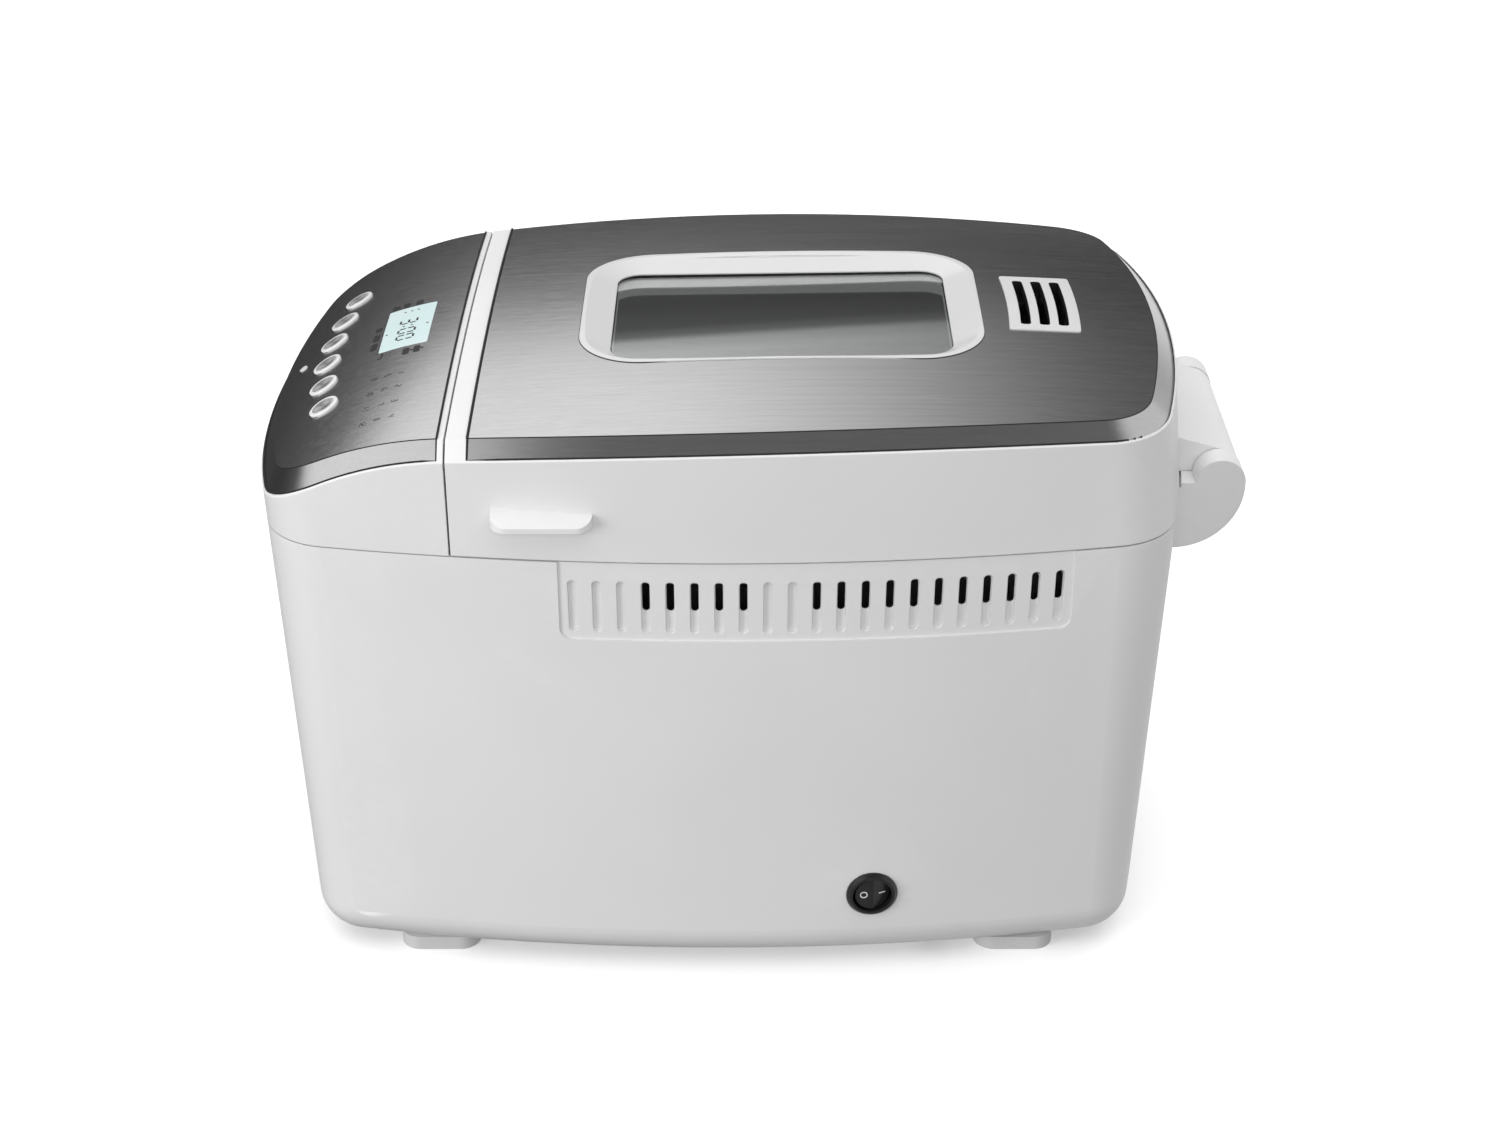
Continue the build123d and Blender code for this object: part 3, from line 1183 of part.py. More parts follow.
def board_posts():
    """Places of the board's corner posts in the board's own plane."""
    x = BOARD_HALF_WIDTH - BOARD_POST_INSET
    rows = (BOARD_POST_INSET - BOARD_FRONT, BOARD_BACK - BOARD_POST_INSET)
    return [(sx * x, y) for sx in (-1, 1) for y in rows]


def front_cover():
    """White housing over the control end, located in the casing by a lip."""
    cover = COVER.shell()
    inside = COVER.hollow()
    for x, y in board_posts():
        pillar = extrude(BOARD_PLANE * Pos(x, y) * Circle(BOARD_POST_RADIUS), CROWN_RISE)
        cover += pillar & inside
    lip = column(CASING_WALL + FIT, LEDGE_Z, COVER.base_z + CASING_WALL)
    lip += column(CASING_WALL / 2, COVER.base_z, COVER.base_z + CASING_WALL)
    lip -= column(2 * CASING_WALL + FIT, LEDGE_Z, COVER.base_z + CASING_WALL)
    cover += lip & side_of(SPLIT_Y - DECK_FRONT - FIT, -1)
    wall = column(CASING_WALL + FIT, DECK_Z, COVER.base_z + CASING_WALL)
    wall = wall & side_of(COVER.end_y, -1) & side_of(COVER.end_y - CASING_WALL, 1)
    return cover + wall - panel_openings()


def control_facia():
    """Curved brushed steel control panel."""
    return COVER.facia() - panel_openings()


def display_lens():
    """Clear window over the display, flush with the panel."""
    block_form = panel_block(DISPLAY_WIDTH, DISPLAY_LENGTH, DISPLAY_RADIUS, -LENS_DEPTH, LENS_DEPTH)
    return block_form & COVER_CROWN.solid(0)


def display_module():
    """Display block under the lens, on four legs that stand on the board."""
    width, length = DISPLAY_WIDTH + 2 * MODULE_MARGIN, DISPLAY_LENGTH + 2 * MODULE_MARGIN
    foot = -LENS_DEPTH - MODULE_DEPTH
    module = panel_block(width, length, MODULE_MARGIN, foot, -LENS_DEPTH)
    plane = COVER_CROWN.plane(DISPLAY_X, DISPLAY_Y).offset(foot)
    above_board = extrude(BOARD_PLANE * Rectangle(BIG, BIG), BIG)
    for sx in (-1, 1):
        for sy in (-1, 1):
            place = Pos(sx * (width / 2 - MODULE_MARGIN), sy * (length / 2 - MODULE_MARGIN))
            module += extrude(plane * place * Circle(MODULE_LEG_RADIUS), -BOARD_DEPTH) & above_board
    return module


def control_board():
    """Printed board under the panel."""
    length = BOARD_FRONT + BOARD_BACK
    centre = Pos(0, BOARD_BACK - length / 2)
    return extrude(BOARD_PLANE * centre * Rectangle(2 * BOARD_HALF_WIDTH, length), -BOARD_SHEET)


def key_switches():
    """Small press switches on the board, one under each button."""
    keys = []
    for plane in button_planes():
        foot = plane.origin - plane.z_dir * board_depth(plane)
        seat = Plane(origin=foot, x_dir=BOARD_PLANE.x_dir, z_dir=BOARD_PLANE.z_dir)
        key = extrude(seat * Rectangle(KEY_SIDE, KEY_SIDE), KEY_HEIGHT)
        keys.append(key + post(seat, KEY_HEIGHT, KEY_HEIGHT + KEY_TIP, KEY_TIP_RADIUS))
    return keys


def indicator_lens():
    """Light pipe beside the buttons, held under the cover by its flange."""
    plane = COVER_CROWN.plane(INDICATOR_X, INDICATOR_Y)
    pipe = post(plane, -INDICATOR_DEPTH, FRAME_PROUD, INDICATOR_RADIUS)
    return pipe + post(plane, -INDICATOR_DEPTH, -FACIA_DECK - FIT, INDICATOR_FLANGE_RADIUS)


def rocker_plane():
    """Plane through the rocker's pivot, square to the side wall."""
    return wall_plane(SWITCH_Y, SWITCH_Z).offset(BEZEL_PROUD - ROCKER_PIVOT_DEPTH)


def rocker_pin(radius, half):
    """Cylinder along the rocker's pivot, which stands upright in the wall plane."""
    place = rocker_plane()
    upright = Plane(origin=place.origin, x_dir=place.x_dir, z_dir=place.y_dir)
    return extrude(upright.offset(-half) * Circle(radius), 2 * half)


def switch_body():
    """Round switch with a bevelled bezel and a well for the rocker."""
    place = wall_plane(SWITCH_Y, SWITCH_Z)
    bezel = extrude(place.offset(-CASING_WALL) * Circle(BEZEL_RADIUS), CASING_WALL + BEZEL_PROUD)
    bezel = chamfer(
        bezel.edges().sort_by(lambda edge: place.to_local_coords(edge.center()).Z)[-1:], BEZEL_CHAMFER)
    bezel -= column(0, FLOOR_Z, SEAM_Z)
    body = post(place, -SWITCH_BODY_DEPTH, 0, SWITCH_BODY_RADIUS)
    switch = bezel + body
    switch -= post(place, SWITCH_FLOOR - SWITCH_BODY_DEPTH, BEZEL_PROUD, WELL_RADIUS)
    return switch - rocker_pin(ROCKER_PIN_RADIUS + RUNNING_FIT, SWITCH_BODY_RADIUS - FIT)


def rocker():
    """Round rocker with two flats, tipped so that its rear side is pressed in."""
    place = rocker_plane()
    disc = extrude(place.offset(-ROCKER_BOTTOM) * Circle(ROCKER_RADIUS), ROCKER_BOTTOM + ROCKER_TOP)
    half = 2 * ROCKER_RADIUS
    for sign in (-1, 1):
        facet = extrude(place * Pos(sign * ROCKER_RADIUS, 0, 0) * Rectangle(half, half), half)
        hinge = Axis(place.origin + place.z_dir * ROCKER_TOP, place.y_dir)
        facet = facet.moved(Location(place.z_dir * ROCKER_TOP))
        disc -= facet.rotate(hinge, sign * ROCKER_TILT)
    pivot = Axis(place.origin, place.y_dir)
    tipped = disc.rotate(pivot, ROCKER_TILT)
    return tipped + rocker_pin(ROCKER_PIN_RADIUS, SWITCH_BODY_RADIUS - 2 * FIT)


def cord_gland():
    """Cable clamp on the base plate behind the cord notch."""
    x_high = column(BASE_OVERLAP, FLOOR_TOP_Z, BASE_TOP_Z).bounding_box().max.X
    high = wall_plane(CORD_Y, BASE_TOP_Z).origin.X - BASE_OVERLAP - CASING_WALL
    high = min(high, x_high)
    body = block(
        high - GLAND_LENGTH, high, CORD_Y - GLAND_WIDTH / 2, CORD_Y + GLAND_WIDTH / 2,
        BASE_TOP_Z, BASE_TOP_Z + GLAND_HEIGHT)
    tunnel = Pos(CORD_Y, BASE_TOP_Z + GLAND_HEIGHT / 2) * Circle(CORD_HEIGHT / 2)
    return body - extrude(Plane.YZ.offset(high - GLAND_LENGTH) * tunnel, GLAND_LENGTH)


def hinge_bracket():
    """Two rounded ears on a curved plate behind the body."""
    centre_y = HALF_LENGTH - EAR_SINK
    sweep_radius = HINGE_Y + EAR_RADIUS - centre_y
    profile = Pos(centre_y, HINGE_Z - EAR_DROP) * Circle(sweep_radius)
    profile = profile & Pos(centre_y + BIG / 2, HINGE_Z - BIG / 2) * Rectangle(BIG, BIG)
    profile += Pos(HINGE_Y, HINGE_Z) * Circle(EAR_RADIUS)
    ear = extrude(Plane.YZ.offset(EAR_INNER_X) * profile, EAR_THICKNESS)
    ears = ear + mirror(ear, Plane.YZ)
    skin = column(-BRACKET_PLATE, FLOOR_Z, SEAM_Z)
    strip = block(
        -EAR_OUTER_X, EAR_OUTER_X, 0, BIG, SEAM_Z - BRACKET_DROP, SEAM_Z - BRACKET_DROP + BRACKET_HEIGHT)
    bracket = ears + (skin & strip)
    bracket -= column(0, FLOOR_Z, SEAM_Z)
    bracket -= lid_column(-SEAM_GAP, SEAM_Z, CROWN_Z)
    return bracket - hinge_bore(HINGE_PIN_RADIUS, PIN_HALF)


def hinge_pin():
    """Steel pin through the ears and the knuckle."""
    return hinge_bore(HINGE_PIN_RADIUS, PIN_HALF)


def build():
    """All sub-parts by name, each a solid or a list of solids."""
    drive_y, link_y = SHAFT_Y
    parts = {
        "body_casing": body_casing(),
        "base_plate": base_plate(),
        "feet": feet(),
        "base_screws": base_screws(),
        "front_cover": front_cover(),
        "control_facia": control_facia(),
        "display_lens": display_lens(),
        "display_module": display_module(),
        "control_board": control_board(),
        "key_switches": key_switches(),
        "indicator_lens": indicator_lens(),
        "inner_deck": inner_deck(),
        "baking_chamber": chamber(),
        "heating_element": heating_element(),
        "element_supports": element_supports(),
        "temperature_probe": temperature_probe(),
        "drive_base": drive_base(),
        "shaft_bushes": shaft_bushes(),
        "motor": motor(),
        "motor_bracket": motor_bracket(),
        "motor_capacitor": motor_capacitor(),
        "power_board": power_board(),
        "drive_belt": belt(MOTOR_Y, MOTOR_PULLEY_RADIUS, drive_y, DRIVE_PULLEY_RADIUS, DRIVE_PULLEY_Z),
        "link_belt": belt(drive_y, LINK_PULLEY_RADIUS, link_y, LINK_PULLEY_RADIUS, LINK_PULLEY_Z),
        "switch_body": switch_body(),
        "cord_gland": cord_gland(),
        "hinge_bracket": hinge_bracket(),
        "hinge_pin": hinge_pin(),
        "pan_clips": pan_clips(),
        "lid_shell": lid_shell(),
        "lid_facia": lid_facia(),
        "window_frame": window_frame(),
        "window_glass": window_glass(),
        "window_seal": window_seal(),
        "lid_vent": lid_vent(),
        "lid_liner": lid_liner(),
        "lid_screws": lid_screws(),
        "rocker": rocker(),
        "motor_shaft": motor_shaft(),
        "motor_pulley": pulley(MOTOR_Y, DRIVE_PULLEY_Z, MOTOR_PULLEY_RADIUS, MOTOR_SHAFT_RADIUS),
        "drive_shaft_front": drive_shaft(0),
        "drive_shaft_back": drive_shaft(1),
        "drive_pulley": pulley(drive_y, DRIVE_PULLEY_Z, DRIVE_PULLEY_RADIUS, SHAFT_RADIUS),
        "link_pulley_front": pulley(drive_y, LINK_PULLEY_Z, LINK_PULLEY_RADIUS, SHAFT_RADIUS),
        "link_pulley_back": pulley(link_y, LINK_PULLEY_Z, LINK_PULLEY_RADIUS, SHAFT_RADIUS),
        "bread_pan": bread_pan(),
        "pan_bushes": pan_bushes(),
        "pan_handle": pan_handle(),
        "pan_shaft_front": pan_shaft(0),
        "pan_shaft_back": pan_shaft(1),
        "paddle_front": paddle(0),
        "paddle_back": paddle(1),
    }
    for index in range(BUTTON_COUNT):
        parts[f"button_{index + 1}"] = button(index)
    return parts


def frame_shift(parts):
    """Move that puts the origin under the middle of the whole machine."""
    front = parts["front_cover"].bounding_box().min.Y
    back = parts["hinge_bracket"].bounding_box().max.Y
    return Pos(0, -(front + back) / 2, 0)


def main():
    """Write one file for each sub-part."""
    parts = build()
    shift = frame_shift(parts)
    os.makedirs("parts", exist_ok=True)
    for name, form in parts.items():
        pieces = form if isinstance(form, list) else [form]
        solids = [solid for piece in pieces for solid in (shift * piece).solids()]
        export_step(solids[0] if len(solids) == 1 else Compound(children=solids), f"parts/{name}.step")


if __name__ == "__main__":
    main()
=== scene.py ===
"""Looks of a long two-paddle bread machine: finishes, display, marks, floor, light and camera."""

from __future__ import annotations

import json
import logging
from dataclasses import dataclass
from enum import Enum, IntEnum
from math import atan2, cos, pi, radians, sin, sqrt, tan

import bmesh
import bpy
from mathutils import Matrix, Vector
from mathutils.geometry import convex_hull_2d

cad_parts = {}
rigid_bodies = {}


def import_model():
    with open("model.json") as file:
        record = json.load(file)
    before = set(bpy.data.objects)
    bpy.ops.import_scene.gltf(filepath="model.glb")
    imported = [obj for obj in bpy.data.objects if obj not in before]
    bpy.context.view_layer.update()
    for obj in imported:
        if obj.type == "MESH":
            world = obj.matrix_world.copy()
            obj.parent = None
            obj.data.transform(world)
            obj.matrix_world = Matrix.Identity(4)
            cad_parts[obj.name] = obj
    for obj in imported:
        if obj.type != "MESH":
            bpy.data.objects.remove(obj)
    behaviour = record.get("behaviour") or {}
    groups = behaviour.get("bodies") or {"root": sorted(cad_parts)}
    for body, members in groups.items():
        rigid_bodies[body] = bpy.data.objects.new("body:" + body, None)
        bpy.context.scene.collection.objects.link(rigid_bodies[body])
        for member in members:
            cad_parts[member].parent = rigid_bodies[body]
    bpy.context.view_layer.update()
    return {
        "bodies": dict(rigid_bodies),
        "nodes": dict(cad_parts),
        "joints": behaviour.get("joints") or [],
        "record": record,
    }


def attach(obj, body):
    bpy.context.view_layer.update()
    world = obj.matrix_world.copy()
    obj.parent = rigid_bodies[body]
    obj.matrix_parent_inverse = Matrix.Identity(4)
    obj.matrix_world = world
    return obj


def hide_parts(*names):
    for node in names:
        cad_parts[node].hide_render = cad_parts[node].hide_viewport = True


LOG = logging.getLogger("bread_machine")
MM = 0.001
SEAM = 215.0 * MM  # height of the joint under the lid
ORIGIN_Y = -12.082 * MM  # middle of the body along the machine
CREASE = radians(40.0)
WHITE = (1.0, 1.0, 1.0, 1.0)
Point = tuple[float, float]
Place = tuple[float, float, float]
Colour = tuple[float, float, float]
Socket = bpy.types.NodeSocket
Node = bpy.types.Node
Material = bpy.types.Material
Piece = bpy.types.Object


class Layer(Enum):
    """Which shader socket a pattern's outputs are meant for."""

    TONE = "Tone"
    ROUGHNESS = "Roughness"
    HEIGHT = "Height"


class End(IntEnum):
    """Which end of the machine, by the sign of its Y."""

    CONTROL = -1
    HINGE = 1


def grey(value: float) -> Colour:
    """Neutral colour of one linear value."""
    return (value, value, value)


class NodeCanvas:
    """Thin helper round a node tree that adds and links nodes."""

    EASED_FROM = 4

    def __init__(self, tree: bpy.types.NodeTree) -> None:
        """Remember the tree that nodes are added to."""
        self.tree = tree

    def add(self, kind: str, inputs: dict[object, object] | None = None, **values: object) -> Node:
        """Add a node.

        Args:
            kind: Blender's type name of the node.
            inputs: What feeds its inputs, by their names or numbers: outputs or plain values.
            values: Properties of the node by name.

        Returns:
            The new node.
        """
        node = self.tree.nodes.new(kind)
        for name, value in values.items():
            setattr(node, name, value)
        for name, source in (inputs or {}).items():
            self.link(source, node.inputs[name])
        return node

    def link(self, source: object, target: Socket) -> None:
        """Feed an input from an output, or with a plain value.

        Args:
            source: Output socket, number or colour.
            target: Input socket.
        """
        if isinstance(source, Socket):
            self.tree.links.new(source, target)
        else:
            target.default_value = source

    def maths(self, operation: str, first: object, second: object) -> Socket:
        """Output of a Math node on two sockets or numbers."""
        return self.add("ShaderNodeMath", {0: first, 1: second}, operation=operation).outputs[0]

    def span(self, source: Socket, low: object, high: object) -> Socket:
        """Stretch a value from 0..1 to a new range."""
        width = self.maths("SUBTRACT", high, low)
        return self.maths("ADD", self.maths("MULTIPLY", source, width), low)

    def ramp(self, source: Socket, stops: list[tuple[float, Colour]]) -> Socket:
        """Map a value to colours through a ramp, eased where it has many stops.

        Args:
            source: Value to map.
            stops: Positions and linear colours, in rising order.

        Returns:
            The ramp's colour output.
        """
        node = self.add("ShaderNodeValToRGB", {"Fac": source})
        elements = node.color_ramp.elements
        eased = len(stops) >= self.EASED_FROM
        node.color_ramp.interpolation = "EASE" if eased else "LINEAR"
        while len(elements) < len(stops):
            elements.new(1.0)
        for element, (position, colour) in zip(elements, stops):
            element.position = position
            element.color = (*colour, 1.0)
        return node.outputs["Color"]

    def step(self, source: Socket, low: float, high: float) -> Socket:
        """Smooth step of a value: 0 at the low limit and 1 at the high one."""
        inputs, ease = {"Value": source, "From Min": low, "From Max": high}, "SMOOTHSTEP"
        return self.add("ShaderNodeMapRange", inputs, interpolation_type=ease).outputs["Result"]

    def mix(self, factor: Socket, first: Socket, second: object) -> Socket:
        """Mix of two colours, of which the second may be a plain value."""
        inputs = {"Factor": factor, "A": first, "B": second}
        return self.add("ShaderNodeMix", inputs, data_type="RGBA").outputs["Result"]


class PatternGroup:
    """Shader node group shared by several finishes, with named inputs and outputs."""

    def __init__(self, name: str, inputs: dict[str, float], outputs: list[Layer]) -> None:
        """Make the group's tree and its sockets.

        Args:
            name: Name of the group.
            inputs: Default of each input by its name.
            outputs: Layers that the group puts out.
        """
        self.tree = bpy.data.node_groups.new(name, "ShaderNodeTree")
        sockets = self.tree.interface
        for socket, default in inputs.items():
            made = sockets.new_socket(socket, in_out="INPUT", socket_type="NodeSocketFloat")
            made.default_value = default
        for layer in outputs:
            sockets.new_socket(layer.value, in_out="OUTPUT", socket_type="NodeSocketFloat")
        self.canvas = NodeCanvas(self.tree)
        self.given = self.canvas.add("NodeGroupInput").outputs
        self.result = self.canvas.add("NodeGroupOutput").inputs

    def noise(self, vector: Socket, scale: object, detail: float) -> Socket:
        """Value of a noise texture whose scale is a socket or a number."""
        inputs = {"Vector": vector, "Scale": scale, "Detail": detail}
        return self.canvas.add("ShaderNodeTexNoise", inputs).outputs["Fac"]

    def coordinates(self) -> Socket:
        """Coordinates of the surface in metres."""
        return self.canvas.add("ShaderNodeTexCoord").outputs["Object"]

    def put(self, layer: Layer, source: Socket) -> None:
        """Lead a value to one of the group's outputs."""
        self.canvas.link(source, self.result[layer.value])

    def put_roughness(self, source: Socket) -> None:
        """Put out a roughness between the group's Smooth and Rough."""
        span = self.canvas.span(source, self.given["Smooth"], self.given["Rough"])
        self.put(Layer.ROUGHNESS, span)

    def place(self, canvas: NodeCanvas, values: dict[str, float]) -> Node:
        """Put the group into a material with its own values."""
        return canvas.add("ShaderNodeGroup", values, node_tree=self.tree)


class Patterns:
    """The surface patterns that the finishes share."""

    MOTTLE = 14.0
    BROAD_LINES = 0.23
    FINE_SHARE = 0.65
    SHARP_EDGE = (0.52, 0.62)
    WEAR_BREAK = 160.0

    def __init__(self) -> None:
        """Build each group once."""
        self.moulded = self.moulded_grain()
        self.brushed = self.brushed_lines()
        self.handling = self.handling_marks()

    def moulded_grain(self) -> PatternGroup:
        """Fine spark-eroded grain of moulded plastic and coated sheet, with slow mottling.

        Returns:
            Group with tone, roughness and height.
        """
        inputs = {"Scale": 900.0, "Smooth": 0.4, "Rough": 0.5}
        group = PatternGroup("moulded_grain", inputs, list(Layer))
        where = group.coordinates()
        fine = group.noise(where, group.given["Scale"], detail=3.0)
        slow = group.noise(where, self.MOTTLE, detail=2.0)
        group.put(Layer.TONE, slow)
        group.put_roughness(group.canvas.maths(
            "MULTIPLY", group.canvas.maths("ADD", fine, slow), 0.5))
        group.put(Layer.HEIGHT, fine)
        return group

    def brushed_lines(self) -> PatternGroup:
        """Long fine scratches along the body, as a brushing belt leaves them.

        Returns:
            Group with tone, roughness and height.
        """
        inputs = {"Across": 1500.0, "Along": 26.0, "Smooth": 0.2, "Rough": 0.4}
        group = PatternGroup("brushed_lines", inputs, list(Layer))
        canvas = group.canvas
        spread = canvas.add("ShaderNodeCombineXYZ", {
            axis: group.given[name] for axis, name in zip("XYZ", ("Across", "Along", "Across"))})
        stretch = canvas.add(
            "ShaderNodeVectorMath", {0: group.coordinates(), 1: spread.outputs[0]},
            operation="MULTIPLY").outputs[0]
        lines = group.noise(stretch, 1.0, detail=4.0)
        broad = group.noise(stretch, self.BROAD_LINES, detail=2.0)
        mixed = canvas.maths(
            "ADD", canvas.maths("MULTIPLY", lines, self.FINE_SHARE),
            canvas.maths("MULTIPLY", broad, 1.0 - self.FINE_SHARE))
        group.put(Layer.TONE, mixed)
        group.put_roughness(mixed)
        group.put(Layer.HEIGHT, lines)
        return group

    def handling_marks(self) -> PatternGroup:
        """Faint polish on edges and corners, broken up by noise.

        Returns:
            Group with a tone that is 1 on worn edges.
        """
        group = PatternGroup("handling_marks", {"Amount": 0.3}, [Layer.TONE])
        canvas = group.canvas
        point = canvas.add("ShaderNodeNewGeometry").outputs["Pointiness"]
        broken = group.noise(group.coordinates(), self.WEAR_BREAK, detail=3.0)
        worn = canvas.maths("MULTIPLY", canvas.step(point, *self.SHARP_EDGE), broken)
        group.put(Layer.TONE, canvas.maths("MULTIPLY", worn, group.given["Amount"]))
        return group


@dataclass(frozen=True)
class Finish:
    """One finish: what it is called and how its surface looks."""

    name: str
    colour: Colour
    shift: float = 0.04
    smooth: float = 0.35
    rough: float = 0.5
    metallic: float = 0.0
    grain: float = 900.0
    relief: float = 0.02
    wear: float = 0.25
    coat: float = 0.0
    edge_round: float = 0.0
    anisotropy: float = 0.0

    COAT_ROUGHNESS = 0.08
    RELIEF_DEPTH = 0.2 * MM
    EDGE_SAMPLES = 6
    TONE_RANGE = (0.3, 0.7)
    WORN_GAIN, WORN_LIFT = 1.25, 0.03

    def constants(self) -> dict[str, object]:
        """What is the same all over the surface, by the shader's sockets."""
        return {"Metallic": self.metallic, "Coat Weight": self.coat,
                "Coat Roughness": self.COAT_ROUGHNESS, "Anisotropic": self.anisotropy}

    def pattern(self, canvas: NodeCanvas, patterns: Patterns) -> Node:
        """Place the pattern of the finish: moulded grain."""
        values = {"Scale": self.grain, "Smooth": self.smooth, "Rough": self.rough}
        return patterns.moulded.place(canvas, values)

    def shade(self, canvas: NodeCanvas, shader: Node, pattern: Node, patterns: Patterns) -> None:
        """Lead the patterns to colour and relief.

        Args:
            canvas: Canvas on the material's tree.
            shader: The material's shader.
            pattern: Group node with tone, roughness and height.
            patterns: The shared pattern groups.
        """
        low = tuple(channel * (1.0 - self.shift) for channel in self.colour)
        high = tuple(min(1.0, channel * (1.0 + self.shift)) for channel in self.colour)
        tone = canvas.ramp(
            pattern.outputs[Layer.TONE.value], list(zip(self.TONE_RANGE, (low, high))))
        marks = patterns.handling.place(canvas, {"Amount": self.wear})
        polished = [min(1.0, part * self.WORN_GAIN + self.WORN_LIFT) for part in self.colour]
        worn = canvas.mix(marks.outputs[Layer.TONE.value], tone, (*polished, 1.0))
        canvas.link(worn, shader.inputs["Base Color"])
        inputs = {"Strength": self.relief, "Distance": self.RELIEF_DEPTH,
                  "Height": pattern.outputs[Layer.HEIGHT.value]}
        if self.edge_round > 0.0:
            soft = canvas.add(
                "ShaderNodeBevel", {"Radius": self.edge_round}, samples=self.EDGE_SAMPLES)
            inputs["Normal"] = soft.outputs["Normal"]
        bump = canvas.add("ShaderNodeBump", inputs)
        canvas.link(bump.outputs["Normal"], shader.inputs["Normal"])

    def tangent(self, canvas: NodeCanvas) -> Socket | None:
        """Direction that the highlight stretches along: none, unless the finish has one."""
        return None

    def material(self, patterns: Patterns) -> Material:
        """Build the material.

        Args:
            patterns: The shared pattern groups.

        Returns:
            The material.
        """
        material = bpy.data.materials.new(self.name)
        material.use_nodes = True
        canvas = NodeCanvas(material.node_tree)
        shader = material.node_tree.nodes["Principled BSDF"]
        for socket, value in self.constants().items():
            shader.inputs[socket].default_value = value
        pattern = self.pattern(canvas, patterns)
        canvas.link(pattern.outputs[Layer.ROUGHNESS.value], shader.inputs["Roughness"])
        self.shade(canvas, shader, pattern, patterns)
        tangent = self.tangent(canvas)
        if tangent is not None:
            canvas.link(tangent, shader.inputs["Tangent"])
        return material


@dataclass(frozen=True)
class BrushedFinish(Finish):
    """Steel with brushed lines along the body and a highlight that stretches across them."""

    across: float = 2200.0
    along: float = 8.0
    anisotropy: float = 0.5

    def pattern(self, canvas: NodeCanvas, patterns: Patterns) -> Node:
        """Place the pattern of the finish: brushed lines."""
        return patterns.brushed.place(canvas, {
            "Across": self.across, "Along": self.along, "Smooth": self.smooth, "Rough": self.rough})

    def tangent(self, canvas: NodeCanvas) -> Socket:
        """Direction in the surface, square to the lines."""
        inputs = {0: canvas.add("ShaderNodeNewGeometry").outputs["Normal"], 1: (0.0, 1.0, 0.0)}
        return canvas.add("ShaderNodeVectorMath", inputs, operation="CROSS_PRODUCT").outputs[0]


@dataclass(frozen=True)
class SpunFinish(Finish):
    """Metal with circular turning marks about the piece's own axis."""

    anisotropy: float = 0.85

    def tangent(self, canvas: NodeCanvas) -> Socket:
        """Direction round the piece's axis."""
        turn = canvas.add("ShaderNodeTangent", direction_type="RADIAL", axis="Z")
        return turn.outputs["Tangent"]


@dataclass(frozen=True)
class ClearFinish(Finish):
    """Clear pane with faint smears."""

    refraction: float = 2.7

    def constants(self) -> dict[str, object]:
        """What is the same all over the pane, by the shader's sockets."""
        return {**super().constants(), "Base Color": (*self.colour, 1.0),
                "IOR": self.refraction, "Transmission Weight": 1.0}

    def shade(self, canvas: NodeCanvas, shader: Node, pattern: Node, patterns: Patterns) -> None:
        """Leave the pane clear and even: only its roughness varies."""


@dataclass(frozen=True)
class LitFinish(Finish):
    """Glowing surface with slow changes of tone: the back-lit display, and the painted light of the
    window's collar.
    """

    glow: float = 0.16
    rim: Colour = (0.6, 0.76, 0.76)

    TONE_RANGE = (0.35, 0.65)

    def constants(self) -> dict[str, object]:
        """What is the same all over the surface, by the shader's sockets."""
        return {**super().constants(), "Emission Strength": self.glow}

    def shade(self, canvas: NodeCanvas, shader: Node, pattern: Node, patterns: Patterns) -> None:
        """Lead the slow mottling to colour and glow.

        Args:
            canvas: Canvas on the material's tree.
            shader: The material's shader.
            pattern: Group node with tone, roughness and height.
            patterns: The shared pattern groups.
        """
        tone = canvas.ramp(
            pattern.outputs[Layer.TONE.value], list(zip(self.TONE_RANGE, (self.rim, self.colour))))
        canvas.link(tone, shader.inputs["Base Color"])
        canvas.link(tone, shader.inputs["Emission Color"])


